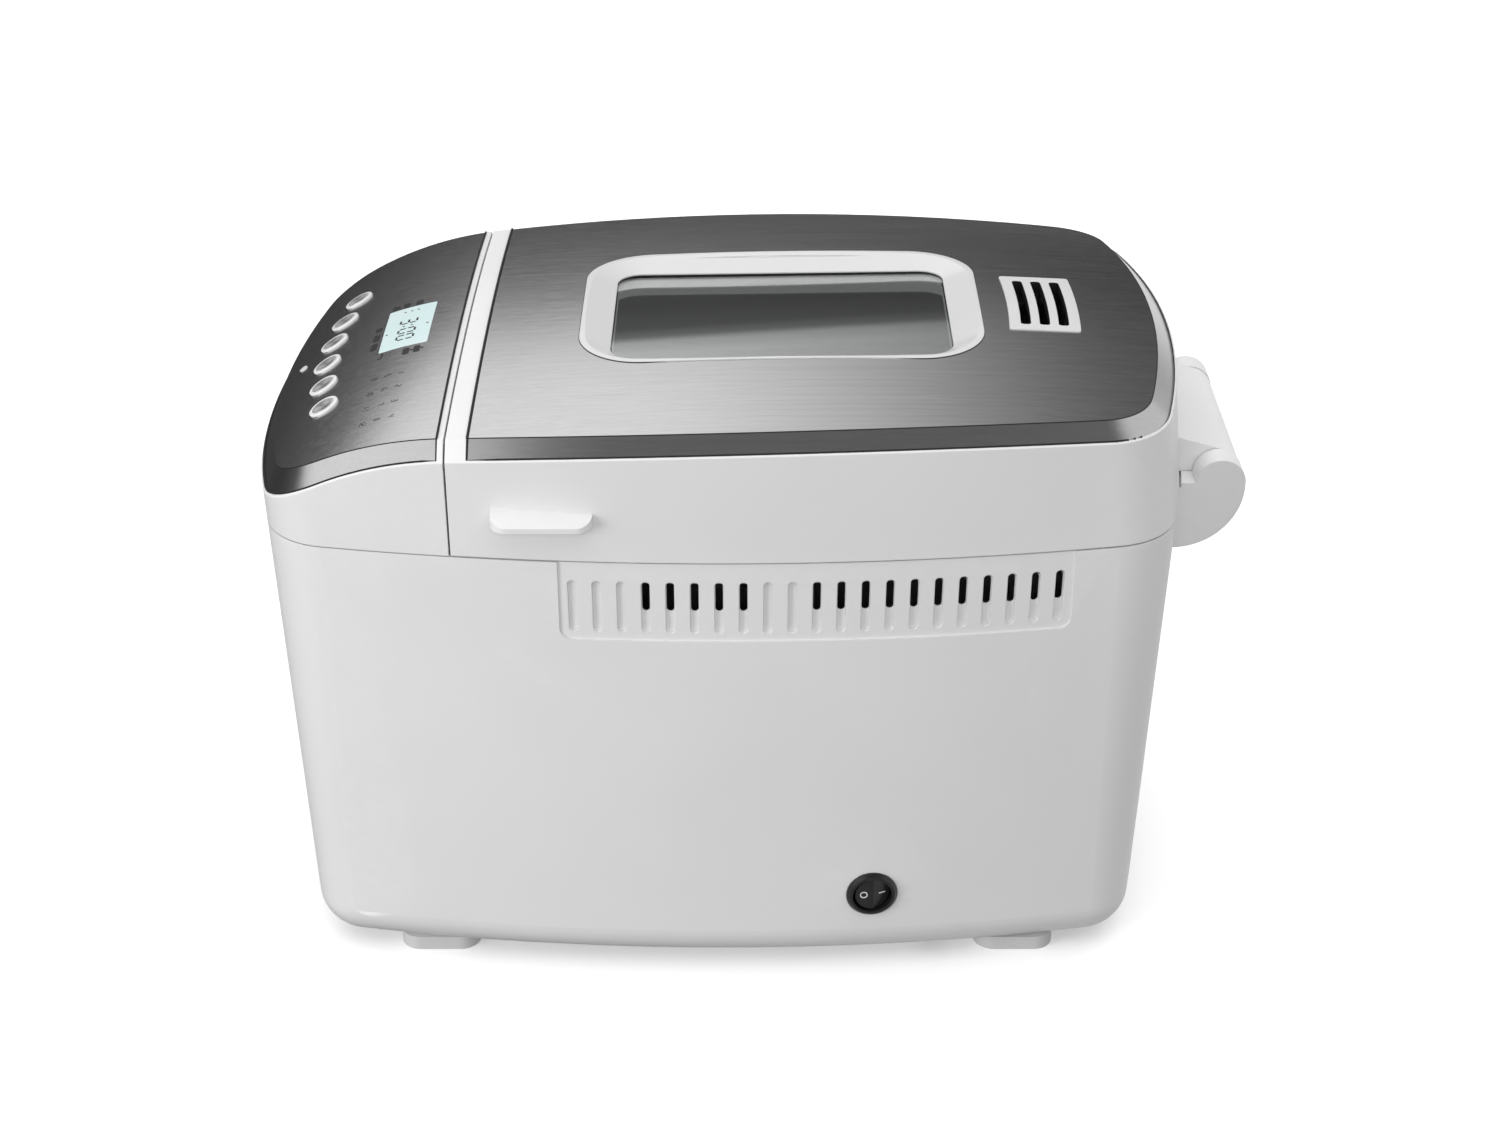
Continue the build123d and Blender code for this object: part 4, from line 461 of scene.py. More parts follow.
class Palette:
    """All finishes of the machine, each made once."""

    FINISHES = (
        Finish("white_casing", grey(0.80), 0.015, 0.36, 0.46, grain=1100.0, relief=0.05,
               edge_round=0.6 * MM),
        Finish("white_gloss_trim", grey(0.68), 0.012, 0.24, 0.34, grain=700.0, coat=0.06,
               edge_round=0.4 * MM),
        BrushedFinish("steel_brushed", grey(0.55), 0.11, 0.14, 0.26, 1.0, relief=0.05, wear=0.2),
        BrushedFinish("steel_rim", grey(0.55), 0.05, 0.18, 0.24, 1.0, relief=0.015, wear=0.2),
        SpunFinish("button_silver", grey(0.74), 0.06, 0.22, 0.34, 0.8, grain=2500.0, relief=0.05),
        ClearFinish("window_clear", (0.86, 0.9, 0.9), smooth=0.0, rough=0.03, grain=60.0),
        # painted light: the collar under the pane glows where no lamp reaches it
        LitFinish("well_painted_glow", grey(0.5), smooth=0.3, grain=700.0, glow=0.34, rim=grey(0.45)),
        LitFinish("display_glow", (0.72, 0.79, 0.80), smooth=0.05, rough=0.12, grain=300.0,
                  coat=0.3),
        Finish("display_ink", grey(0.012), 0.2, 0.3, 0.5, grain=2000.0),
        Finish("panel_ink", grey(0.01), 0.2, 0.4, 0.6, grain=2000.0),
        Finish("signal_white", grey(0.86), 0.02, 0.15, 0.25, coat=0.4),
        Finish("switch_black", grey(0.012), 0.2, 0.22, 0.36, grain=1400.0, relief=0.05,
               edge_round=0.3 * MM),
        # painted shade: dark for the deep slot walls and the shadow lines in gaps and creases
        Finish("painted_shade_dark", grey(0.01), 0.2, 0.5, 0.7),
        Finish("mark_white", grey(0.85), 0.04, 0.4, 0.5, grain=2000.0),
        Finish("foot_rubber", grey(0.62), 0.05, 0.6, 0.75, grain=1200.0, relief=0.1),
        Finish("seal_silicone", grey(0.4), 0.06, 0.5, 0.65, grain=800.0, relief=0.08),
        Finish("belt_rubber", grey(0.03), 0.25, 0.55, 0.75, grain=600.0, relief=0.2),
        Finish("board_green", (0.03, 0.16, 0.08), 0.2, 0.3, 0.45, grain=500.0, relief=0.1),
        Finish("plated_bright", grey(0.66), 0.05, 0.16, 0.3, 1.0, relief=0.04, edge_round=0.3 * MM),
        Finish("chamber_sheet", grey(0.42), 0.08, 0.3, 0.5, 0.9, grain=300.0, relief=0.08),
        Finish("element_oxide", grey(0.1), 0.3, 0.5, 0.7, 0.4, grain=500.0, relief=0.2),
        Finish("casting_rough", grey(0.5), 0.12, 0.45, 0.65, 0.9, grain=450.0, relief=0.25,
               edge_round=0.6 * MM),
        Finish("bush_bronze", (0.5, 0.34, 0.14), 0.1, 0.35, 0.5, 1.0, grain=1500.0, relief=0.1),
        Finish("motor_lacquer", grey(0.22), 0.15, 0.3, 0.5, 0.6, grain=300.0, relief=0.12,
               edge_round=0.6 * MM),
        Finish("capacitor_shell", (0.74, 0.74, 0.7), 0.04, 0.25, 0.4, grain=800.0,
               edge_round=0.6 * MM),
        Finish("pulley_nylon", grey(0.06), 0.2, 0.4, 0.55, relief=0.08, edge_round=0.3 * MM),
        Finish("pan_nonstick", grey(0.055), 0.2, 0.38, 0.55, 0.35, grain=700.0, relief=0.15,
               edge_round=0.5 * MM),
    )

    def __init__(self) -> None:
        """Build the patterns and then each material."""
        patterns = Patterns()
        self.materials = {finish.name: finish.material(patterns) for finish in self.FINISHES}

    def __getitem__(self, name: str) -> Material:
        """Material of a finish by its name."""
        return self.materials[name]


def circle(radius: float, steps: int) -> list[Point]:
    """Points round a circle, anticlockwise."""
    turns = [2 * pi * index / steps for index in range(steps)]
    return [(radius * cos(turn), radius * sin(turn)) for turn in turns]


def rounded_bar(width: float, height: float, radius: float, steps: int = 5) -> list[Point]:
    """Outline of a rectangle with round corners.

    Args:
        width: Size along X.
        height: Size along Y.
        radius: Corner radius.
        steps: Points in each corner.

    Returns:
        Corners, anticlockwise from the right.
    """
    points = []
    for quarter, (sx, sy) in enumerate(((1, 1), (-1, 1), (-1, -1), (1, -1))):
        for step in range(steps):
            turn = (quarter + step / (steps - 1)) * pi / 2
            points.append((sx * (width / 2 - radius) + radius * cos(turn),
                           sy * (height / 2 - radius) + radius * sin(turn)))
    return points


def loaf(width: float, height: float, steps: int = 8) -> list[Point]:
    """Outline of a loaf seen from its end: a square foot and a wide round top.

    Args:
        width: Size of the round top along X.
        height: Size along Y.
        steps: Runs in the round top.

    Returns:
        Corners, anticlockwise from the foot.
    """
    side, waist, rise = 0.42 * width, 0.1 * height, 0.4 * height
    turns = [pi * step / steps for step in range(steps + 1)]
    crown = [(width / 2 * cos(turn), waist + rise * sin(turn)) for turn in turns]
    foot = [(-side, -height / 2), (side, -height / 2), (side, waist)]
    return [*foot, *crown, (-side, waist)]


class SolidSketch:
    """Collects closed prisms and turned forms into one mesh."""

    def __init__(self) -> None:
        """Start with an empty mesh."""
        self.mesh = bmesh.new()

    def row(self, points: list[Place], place: Matrix) -> list[bmesh.types.BMVert]:
        """Add points given on a plane."""
        return [self.mesh.verts.new(place @ Vector(point)) for point in points]

    def band(self, low: list[bmesh.types.BMVert], high: list[bmesh.types.BMVert]) -> None:
        """Join two closed rows of points with quads.

        Args:
            low: First row.
            high: Second row, as long as the first.
        """
        for index in range(len(low)):
            after = (index + 1) % len(low)
            self.mesh.faces.new((low[index], low[after], high[after], high[index]))

    def fan(self, middle: Vector, row: list[bmesh.types.BMVert]) -> None:
        """Close a row of points with triangles about a point in its middle.

        Args:
            middle: Place of the middle.
            row: Points round it.
        """
        tip = self.mesh.verts.new(middle)
        for index, corner in enumerate(row):
            self.mesh.faces.new((tip, corner, row[(index + 1) % len(row)]))

    def tube(self, rows: list[list[bmesh.types.BMVert]]) -> None:
        """Join rows of points to a closed ring of bands."""
        for index, row in enumerate(rows):
            self.band(row, rows[(index + 1) % len(rows)])

    def prism(self, outline: list[Point], thickness: float, place: Matrix) -> None:
        """Add a prism on a plane.

        Args:
            outline: Corners in the plane, anticlockwise.
            thickness: Height above the plane.
            place: Matrix of the plane.
        """
        foot = self.row([(x, y, 0.0) for x, y in outline], place)
        head = self.row([(x, y, thickness) for x, y in outline], place)
        self.mesh.faces.new(head)
        self.mesh.faces.new(list(reversed(foot)))
        self.band(foot, head)

    def ring(self, radii: Point, thickness: float, place: Matrix, steps: int = 40) -> None:
        """Add a flat ring.

        Args:
            radii: Inner and outer radius.
            thickness: Height above the plane.
            place: Matrix of the plane.
            steps: Corners round the ring.
        """
        inner, outer = radii
        profile = ((inner, 0.0), (outer, 0.0), (outer, thickness), (inner, thickness))
        self.tube([
            self.row([(x, y, height) for x, y in circle(radius, steps)], place)
            for radius, height in profile])

    def turned(self, profile: list[Point], steps: int = 64) -> None:
        """Add a turned disc about Z.

        Args:
            profile: Radius and height pairs from the top centre round to the bottom centre.
            steps: Facets round the axis.
        """
        rows = [
            self.row([(x, y, height) for x, y in circle(radius, steps)], Matrix.Identity(4))
            for radius, height in profile[1:-1]]
        for high, low in zip(rows, rows[1:]):
            self.band(low, high)
        self.fan(Vector((0.0, 0.0, profile[0][1])), rows[0])
        self.fan(Vector((0.0, 0.0, profile[-1][1])), rows[-1][::-1])

    def finish(self, name: str, material: Material, smooth: bool = False) -> Piece:
        """Turn the collected forms into an object.

        Args:
            name: Name of the piece.
            material: Its material.
            smooth: Whether its faces shade smoothly.

        Returns:
            The new object.
        """
        bmesh.ops.recalc_face_normals(self.mesh, faces=self.mesh.faces)
        data = bpy.data.meshes.new(name)
        self.mesh.to_mesh(data)
        self.mesh.free()
        data.materials.append(material)
        if smooth:
            data.shade_smooth()
        else:
            data.shade_flat()
        return shown(name, data)


def shown(name: str, data: bpy.types.ID) -> Piece:
    """Object of a mesh, curve, lamp or camera, linked to the scene.

    Args:
        name: Name of the object.
        data: What it shows.

    Returns:
        The new object.
    """
    piece = bpy.data.objects.new(name, data)
    bpy.context.scene.collection.objects.link(piece)
    return piece


def settle(piece: Piece, body: str) -> Piece:
    """Let a piece ride on a body.

    Args:
        piece: Piece, already in place.
        body: Body that it rides on.

    Returns:
        The same piece.
    """
    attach(piece, body)
    return piece


@dataclass
class Crown:
    """Barrel surface of lid or control panel: an arch about a cross axis, domed across."""

    axis_y: float
    axis_z: float
    arch: float
    dome: float = 1163.0 * MM
    rim_lean: float = 0.15
    tolerance: float = 0.04 * MM

    def reach(self, x: float) -> float:
        """Radius of the arch at a place across the width."""
        return self.arch - self.dome + sqrt(self.dome ** 2 - x ** 2)

    def rise(self, x: float, y: float) -> float:
        """Height of the surface above the axis."""
        return sqrt(self.reach(x) ** 2 - (y - self.axis_y) ** 2)

    def above(self, point: Vector) -> float:
        """Distance of a point above the surface."""
        away = sqrt((point.y - self.axis_y) ** 2 + (point.z - self.axis_z) ** 2)
        return away - self.reach(point.x)

    def carries(self, corners: list[Vector]) -> bool:
        """Whether all points lie on the surface."""
        return all(abs(self.above(corner)) < self.tolerance for corner in corners)

    def outward(self, x: float, y: float) -> Vector:
        """Unit normal of the surface at a place across the width and along the machine."""
        fall = x / sqrt(self.dome ** 2 - x ** 2)
        return Vector((fall * self.reach(x), y - self.axis_y, self.rise(x, y))).normalized()

    def place(self, x: float, y: float, lift: float = 0.0) -> Matrix:
        """Plane on the surface, with X across, Y towards the hinge and Z outwards.

        Args:
            x: Place across the width.
            y: Place along the machine.
            lift: Distance above the surface.

        Returns:
            The plane's matrix.
        """
        outward = self.outward(x, y)
        across = Vector((0.0, 1.0, 0.0)).cross(outward).normalized()
        origin = Vector((x, y, self.axis_z + self.rise(x, y))) + outward * lift
        turn = Matrix((across, outward.cross(across), outward)).transposed()
        return Matrix.Translation(origin) @ turn.to_4x4()

    def true_up(self, piece: Piece) -> list[tuple[Vector, Vector]]:
        """Give the faces that lie on the surface its exact normals, so long slivers shade evenly.

        Faces off the surface take the piece's second material.

        Args:
            piece: Piece whose mesh is corrected.

        Returns:
            The folds: edges between the surface and the rim that leans away from it.
        """
        mesh = piece.data
        normals = [Vector(corner.vector) for corner in mesh.corner_normals]
        sides = {}
        for face in mesh.polygons:
            corners = [mesh.vertices[index].co.copy() for index in face.vertices]
            carried = self.carries(corners)
            face.material_index = int(not carried)
            if carried:
                for index, corner in zip(face.loop_indices, corners):
                    normals[index] = self.outward(corner.x, corner.y)
            for start, end in zip(corners, corners[1:] + corners[:1]):
                edge = tuple(sorted((start.to_tuple(6), end.to_tuple(6))))
                sides.setdefault(edge, []).append((carried, face.normal.z))
        mesh.shade_smooth()
        mesh.normals_split_custom_set(normals)
        return [
            (Vector(start), Vector(end)) for (start, end), faces in sides.items()
            if len({carried for carried, _ in faces}) > 1
            and min(lean for _, lean in faces) > self.rim_lean]


LID_CROWN = Crown(54.0 * MM + ORIGIN_Y, SEAM - 1835.1 * MM, 1900.0 * MM)
PANEL_CROWN = Crown(-110.634 * MM, SEAM - 96.778 * MM, 155.0 * MM)


@dataclass
class FaciaGap:
    """Painted shadow of a steel facia: dark lines in the gap round the rim of its sheet, and along
    its folds.

    One end of the sheet is straight, and end_side says which.
    """

    sheet: Piece
    crown: Crown
    end_side: End
    radius: float = 0.5 * MM
    out: float = 0.1 * MM
    lift: float = 0.72 * MM
    reach: float = 0.05 * MM
    fold_radius: float = 0.3 * MM
    fold_sink: float = 0.18 * MM
    run_steps: int = 6

    def straight_end(self, corners: list[Vector], end_y: float) -> list[Vector]:
        """Points across the straight end, close enough to follow the dome.

        Args:
            corners: Corners of the sheet.
            end_y: Place of the end along the machine.

        Returns:
            Points of the run.
        """
        ends = [corner for corner in corners if abs(corner.y - end_y) < self.reach]
        backwards = self.end_side is End.CONTROL
        places = sorted({round(corner.x, 4) for corner in ends}, reverse=backwards)
        across = [
            max((c for c in ends if abs(c.x - x) < self.reach * 2), key=lambda c: c.z)
            for x in places]
        inner = [point for point in across[1:-1] if self.crown.carries([point])]
        across = [across[0], *inner, across[-1]]
        run = across[:1]
        for start, end in zip(across, across[1:]):
            for step in range(1, self.run_steps if self.crown.carries([start, end]) else 1):
                x = start.lerp(end, step / self.run_steps).x
                run.append(self.crown.place(x, end_y).translation)
            run.append(end)
        return run

    def path(self) -> list[Vector]:
        """Closed path round the sheet, along its highest corners.

        Returns:
            Points of the path.
        """
        side = self.end_side
        corners = [vertex.co.copy() for vertex in self.sheet.data.vertices]
        end_y = max(side * corner.y for corner in corners) * side
        middle = Vector((0.0, sum(corner.y for corner in corners) / len(corners), 0.0))
        rim = []
        for index in convex_hull_2d([corner.to_2d() for corner in corners]):
            foot = corners[index]
            near = [c for c in corners
                    if abs(c.x - foot.x) < self.reach and abs(c.y - foot.y) < self.reach]
            crest = max(near, key=lambda corner: corner.z)
            if abs(crest.y - end_y) > self.reach:
                rim.append(crest)
        rim.sort(key=lambda point: atan2(-side * point.x, -side * (point.y - middle.y)))
        up = Vector((0.0, 0.0, self.lift))
        round_rim = [
            point + Vector((*(point - middle).to_2d().normalized(), 0.0)) * self.out + up
            for point in rim]
        aside = Vector((0.0, side * self.out, 0.0)) + up / 2
        return round_rim + [point + aside for point in self.straight_end(corners, end_y)]

    def folds(self) -> list[list[Vector]]:
        """Runs of painted shade along the folds of the sheet, which gets true normals on the way.

        Returns:
            Both ends of each run.
        """
        sunk = Vector((0.0, 0.0, -self.fold_sink))
        return [[start + sunk, end + sunk] for start, end in self.crown.true_up(self.sheet)]


@dataclass
class SubAssembly:
    """Part of the machine: it dresses its CAD nodes and may add pieces of its own."""

    frame: dict
    palette: Palette

    FINISHES = {}

    def build(self) -> list[Piece]:
        """Dress the nodes and make the pieces.

        Returns:
            The new pieces.
        """
        for finish, nodes in self.FINISHES.items():
            for name in nodes:
                for slot in self.frame["nodes"][name].material_slots:
                    slot.material = self.palette[finish]
        return self.pieces()

    def pieces(self) -> list[Piece]:
        """Pieces that the sub-assembly adds: none, unless it says so."""
        return []

    def stand_in(self, node: str, name: str, body: str, slot: str, *finishes: str) -> Piece:
        """Copy a CAD node into a piece that replaces it.

        Args:
            node: Name of the node.
            name: Name of the piece.
            body: Body that the piece rides on.
            slot: Not used.
            finishes: Finishes of the piece, the main one first.

        Returns:
            The piece.
        """
        piece = shown(name, self.frame["nodes"][node].data.copy())
        piece.data.materials.clear()
        for finish in finishes:
            piece.data.materials.append(self.palette[finish])
        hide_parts(node)
        return settle(piece, body)

    def line(self, name: str, paths: list[list[Vector]], radius: float, body: str,
             closed: bool = True) -> Piece:
        """Lay a thin dark line of painted shadow along an edge.

        Args:
            name: Name of the piece.
            paths: Points of each run.
            radius: Half of its thickness.
            body: Body that the line rides on.
            closed: Whether each run closes on itself.

        Returns:
            The line.
        """
        data = bpy.data.curves.new(name, "CURVE")
        data.dimensions = "3D"
        data.bevel_depth = radius
        data.bevel_resolution = 2
        data.use_fill_caps = True
        for path in paths:
            run = data.splines.new("POLY")
            run.points.add(len(path) - 1)
            for target, point in zip(run.points, path):
                target.co = (*point, 1.0)
            run.use_cyclic_u = closed
        # painted shadow: the line takes the dark finish
        data.materials.append(self.palette["painted_shade_dark"])
        return settle(shown(name, data), body)

    def steel(self, stem: str, crown: Crown, end_side: End, body: str) -> list[Piece]:
        """Steel facia with even shading, and dark lines of painted shadow along its edges.

        Args:
            stem: First word of the node's and the pieces' names.
            crown: Surface that the sheet lies on.
            end_side: End at which the sheet is straight.
            body: Body that the pieces ride on.

        Returns:
            The sheet, its dark line of painted shadow round the rim and its painted shade line
            along the folds.
        """
        sheet = self.stand_in(
            f"{stem}_facia", f"{stem}_steel", body, "brushed_steel", "steel_brushed", "steel_rim")
        gap = FaciaGap(sheet, crown, end_side)
        folds = gap.folds()
        # painted shadow: dark line in the gap round the rim, and painted shade along the creases
        return [sheet, self.line(f"{stem}_shadow_bead", [gap.path()], gap.radius, body),
                self.line(f"{stem}_fold_shade", folds, gap.fold_radius, body, closed=False)]


class Housing(SubAssembly):
    """White casing, front cover, hinge and what stands under them."""

    FINISHES = {
        "white_casing": ("body_casing", "base_plate", "front_cover", "inner_deck", "hinge_bracket"),
        "foot_rubber": ("feet",),
        "plated_bright": ("base_screws", "hinge_pin"),
        "pulley_nylon": ("cord_gland",),
    }


@dataclass
class Lid(SubAssembly):
    """Lid with its steel facia, window and steam vent."""

    window_y: float = 25.7 * MM
    sight: Point = (95.0 * MM, 148.0 * MM)
    sight_radius: float = 11.0 * MM
    corner_steps: int = 9
    pane_overlap: float = 5.0 * MM
    pane_top: float = -7.287 * MM
    pane_thickness: float = 3.0 * MM
    pane_rings: int = 8
    pane_flat: float = 0.9
    pane_lean: float = 14.7 * MM
    pane_power: float = 2.2
    pane_twist: float = 0.135
    # painted shadow: thickness of the dark lines round the glass and the frame
    glass_line: float = 0.3 * MM
    frame_line: float = 0.28 * MM
    well_top: float = -11.9 * MM
    well_height: float = 8.5 * MM
    well_inset: float = 0.9 * MM
    well_sheet: float = 0.3 * MM
    well_flare: Point = (0.49, 0.55)
    slot_depth: float = 1.0 * MM

    FINISHES = {
        "white_casing": ("lid_shell",),
        "white_gloss_trim": ("window_frame",),
        "seal_silicone": ("window_seal",),
        "chamber_sheet": ("lid_liner",),
        "plated_bright": ("lid_screws",),
    }

    def window(self) -> Matrix:
        """Plane on the crown over the middle of the window."""
        return LID_CROWN.place(0.0, self.window_y + ORIGIN_Y)

    def opening(self, grow_x: float, grow_y: float) -> list[Point]:
        """Outline of the window's opening, grown on each side."""
        width, length = self.sight[0] + 2 * grow_x, self.sight[1] + 2 * grow_y
        return rounded_bar(width, length, self.sight_radius + grow_x, self.corner_steps)

    def vent(self) -> Piece:
        """White vent whose slot walls are dark below a set depth, as painted shade.

        Returns:
            The vent.
        """
        vent = self.stand_in(
            "lid_vent", "vent_plate", "lid", "white_trim", "white_gloss_trim", "painted_shade_dark")
        for face in vent.data.polygons:
            # painted shade: faces deeper in the slots take the dark finish
            face.material_index = int(LID_CROWN.above(face.center) < -self.slot_depth)
        return vent

    def pane(self) -> Piece:
        """Clear pane, domed across as the lid is.

        Returns:
            The pane.
        """
        sketch = SolidSketch()
        place = self.window()
        bow = 2 * LID_CROWN.dome
        outline = self.opening(self.pane_overlap, self.pane_overlap)
        crest = self.pane_top + (self.sight[0] / 2) ** 2 / bow
        rows = []
        for top, order in ((crest, 1), (crest - self.pane_thickness, -1)):
            shares = [ring / self.pane_rings for ring in range(1, self.pane_rings + 1)]
            rings = [
                sketch.row([(s * x, s * y, top - (s * x) ** 2 / bow) for x, y in outline], place)
                for s in shares]
            sketch.fan(place @ Vector((0.0, 0.0, top)), rings[0])
            rows.extend(rings[::order])
        for low, high in zip(rows, rows[1:]):
            sketch.band(low, high)
        pane = sketch.finish("window_pane", self.palette["window_clear"], smooth=True)
        pane.data.set_sharp_from_angle(angle=CREASE)
        self.polish(pane.data, place)
        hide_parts("window_glass")
        return settle(pane, "lid")

    def polish(self, mesh: bpy.types.Mesh, place: Matrix) -> None:
        """Give both faces of the pane the even normals of drawn glass, with its slight twist.

        Args:
            mesh: Mesh of the pane.
            place: Plane of the window.
        """
        turn = place.to_3x3()
        back = place.inverted()
        normals = [Vector(corner.vector) for corner in mesh.corner_normals]
        for face in mesh.polygons:
            side = (turn.transposed() @ face.normal).z
            if abs(side) > self.pane_flat:
                for index, corner in zip(face.loop_indices, face.vertices):
                    x, y, _ = back @ mesh.vertices[corner].co
                    away = x - self.pane_lean + self.pane_twist * y
                    lean = Vector((self.pane_power * away / LID_CROWN.dome, 0.0, 1.0))
                    normals[index] = (turn @ lean).normalized() * (1 if side > 0 else -1)
        mesh.normals_split_custom_set(normals)

    def outlines(self) -> list[Piece]:
        """Dark lines of painted shadow round the glass and round the window frame.

        Returns:
            Both lines.
        """
        place = self.window()
        height = self.pane_top + self.glass_line / 2
        outline = self.opening(-self.glass_line, -self.glass_line)
        glass = [place @ Vector((x, y, height)) for x, y in outline]
        vertices = self.frame["nodes"]["window_frame"].data.vertices
        corners = [vertex.co.to_2d() for vertex in vertices]
        rim = [LID_CROWN.place(*corners[index]).translation for index in convex_hull_2d(corners)]
        return [self.line("window_shadow_line", [glass], self.glass_line, "lid"),
                self.line("frame_line", [rim], self.frame_line, "lid")]

    def well(self) -> Piece:
        """White collar under the pane, inside the metal funnel, glowing with painted light.

        Returns:
            The collar.
        """
        sketch = SolidSketch()
        place = self.window()
        rows = []
        for drop, out in ((0.0, 0.0), (self.well_height, 0.0),
                          (self.well_height, self.well_sheet), (0.0, self.well_sheet)):
            grow = [drop * flare - self.well_inset + out for flare in self.well_flare]
            outline = self.opening(*grow)
            rows.append(sketch.row([(x, y, self.well_top - drop) for x, y in outline], place))
        sketch.tube(rows)
        well = sketch.finish("window_well", self.palette["well_painted_glow"], smooth=True)
        well.data.set_sharp_from_angle(angle=CREASE)
        return settle(well, "lid")

    def pieces(self) -> list[Piece]:
        """Steel facia, vent, pane, collar and the dark lines of painted shadow."""
        steel = self.steel("lid", LID_CROWN, End.CONTROL, "lid")
        return [*steel, self.vent(), self.pane(), self.well(), *self.outlines()]


@dataclass
class ControlPanel(SubAssembly):
    """Steel control panel with its display, buttons, lamp and printed marks.

    Places of printed signs count from the middle of the display.
    """

    button_count: int = 6
    button_pitch: float = 23.5 * MM
    button_row: Point = (-1.2 * MM, -175.5 * MM)
    button_bow: float = 327.0 * MM
    cap_share: float = 0.48
    disc_radius: float = 5.2 * MM
    disc_seat: float = 0.62 * MM
    display: Point = (1.5 * MM, -139.8 * MM)
    digit_size: Point = (5.4 * MM, 8.4 * MM)
    digit_pitch: float = 7.0 * MM
    stroke: float = 0.95 * MM
    bar_gaps: Point = (2.4, 1.4)
    bar_round: float = 0.3
    time_shift: float = 3.0 * MM
    time: tuple[tuple[int, float], ...] = ((3, -1.25), (0, 0.25), (0, 1.25))
    colon: Point = (-0.5, 1.8 * MM)
    dot_radius: float = 0.55 * MM
    dot_steps: int = 12
    programs: int = 12
    program_columns: int = 4
    program_corner: Point = (50.0 * MM, -137.0 * MM)
    program_pitch: Point = (13.0 * MM, 6.0 * MM)
    program_scale: float = 0.34
    loaf_size: Point = (5.6 * MM, 3.4 * MM)
    ink: float = 0.06 * MM
    sink: float = 0.25 * MM

    FINISHES = {
        "display_glow": ("display_lens",),
        "signal_white": ("indicator_lens",),
        "switch_black": ("display_module", "key_switches"),
        "board_green": ("control_board",),
    }
    LIT_BARS = ("abcdef", "bc", "abdeg", "abcdg", "bcfg", "acdfg", "acdefg", "abc", "abcdefg",
                "abcdfg")
    DISC_PROFILE = (  # share of the radius, height in mm
        (0.0, 0.16), (0.35, 0.18), (0.75, 0.26), (0.93, 0.36), (1.0, 0.28), (1.0, 0.0), (0.0, 0.0))
    DISPLAY_DOTS = ((-17.5, 3.0), (-17.5, 0.0), (-17.5, -3.0), (1.0, 9.0), (4.0, -9.0))  # mm
    LOAVES = ((-26.2, -8.0), (-26.2, -3.2), (-26.2, 2.7))  # mm
    BARS = (  # width, height, corner radius and place in mm
        (4.4, 3.2, 0.6, -5.4, -13.6), (6.8, 3.2, 0.6, 3.9, -13.6), (6.8, 3.2, 0.6, 13.4, -13.6),
        (6.2, 3.0, 0.8, 28.0, 2.3), (6.2, 3.0, 0.8, 28.0, 7.1),
        (4.6, 0.7, 0.3, 26.0, -8.6), (0.7, 2.2, 0.3, 28.4, -9.4))
    ARROW = ((-0.6 * MM, -1.1 * MM), (0.8 * MM, 0.0), (-0.6 * MM, 1.1 * MM))
    ARROWS = ((28.0, 4.6), (28.0, 9.4))  # mm

    def place(self, x: float, y: float, lift: float) -> Matrix:
        """Plane on the panel at a place counted from the middle of the body."""
        return PANEL_CROWN.place(x, y + ORIGIN_Y, lift)

    def cap(self, index: int) -> Piece:
        """Button head pressed flatter to the panel than the plain solid.

        Args:
            index: Number of the button.

        Returns:
            The cap, riding on its button.
        """
        button = f"button_{index}"
        cap = self.stand_in(button, f"button_cap_{index}", button, "white_trim", "signal_white")
        for vertex in cap.data.vertices:
            proud = max(0.0, PANEL_CROWN.above(vertex.co))
            outward = PANEL_CROWN.outward(vertex.co.x, vertex.co.y)
            vertex.co -= outward * proud * (1.0 - self.cap_share)
        return cap

    def disc(self, index: int) -> Piece:
        """Turned metal disc in a button head.

        Args:
            index: Number of the button.

        Returns:
            The disc, riding on its button.
        """
        step = (index - (self.button_count + 1) / 2) * self.button_pitch
        y = self.button_row[1] + self.button_bow - sqrt(self.button_bow ** 2 - step ** 2)
        sketch = SolidSketch()
        sketch.turned([(share * self.disc_radius, z * MM) for share, z in self.DISC_PROFILE])
        disc = sketch.finish(f"button_disc_{index}", self.palette["button_silver"], smooth=True)
        disc.matrix_world = self.place(self.button_row[0] + step, y, self.disc_seat)
        return settle(disc, f"button_{index}")

    def stamp(self, sketch: SolidSketch, outline: list[Point], x: float, y: float) -> None:
        """Add one inked shape that lies in the panel's surface."""
        sketch.prism(outline, self.sink + self.ink, self.place(x, y, -self.sink))

    def sign(self, sketch: SolidSketch, outline: list[Point], x: float, y: float) -> None:
        """Add one inked shape at a place in mm from the middle of the display."""
        self.stamp(sketch, outline, self.display[0] + x * MM, self.display[1] + y * MM)

    def digit(self, sketch: SolidSketch, figure: int, x: float, y: float,
              scale: float = 1.0) -> None:
        """Add the bars of one seven-bar figure.

        Args:
            sketch: Mesh that takes the bars.
            figure: Figure from 0 to 9.
            x: Middle of the figure across the display.
            y: Middle of the figure along the machine.
            scale: Size against the figures of the display.
        """
        width, height = (scale * size for size in self.digit_size)
        stroke = scale * self.stroke
        across = (width - self.bar_gaps[0] * stroke, stroke)
        upright = (stroke, height / 2 - self.bar_gaps[1] * stroke)
        side, level = (width - stroke) / 2, (height - stroke) / 2
        bars = {"a": (0, level, across), "g": (0, 0, across), "d": (0, -level, across),
                "b": (side, level / 2, upright), "c": (side, -level / 2, upright),
                "f": (-side, level / 2, upright), "e": (-side, -level / 2, upright)}
        for bar in self.LIT_BARS[figure]:
            dx, dy, size = bars[bar]
            self.stamp(sketch, rounded_bar(*size, self.bar_round * stroke), x + dx, y + dy)

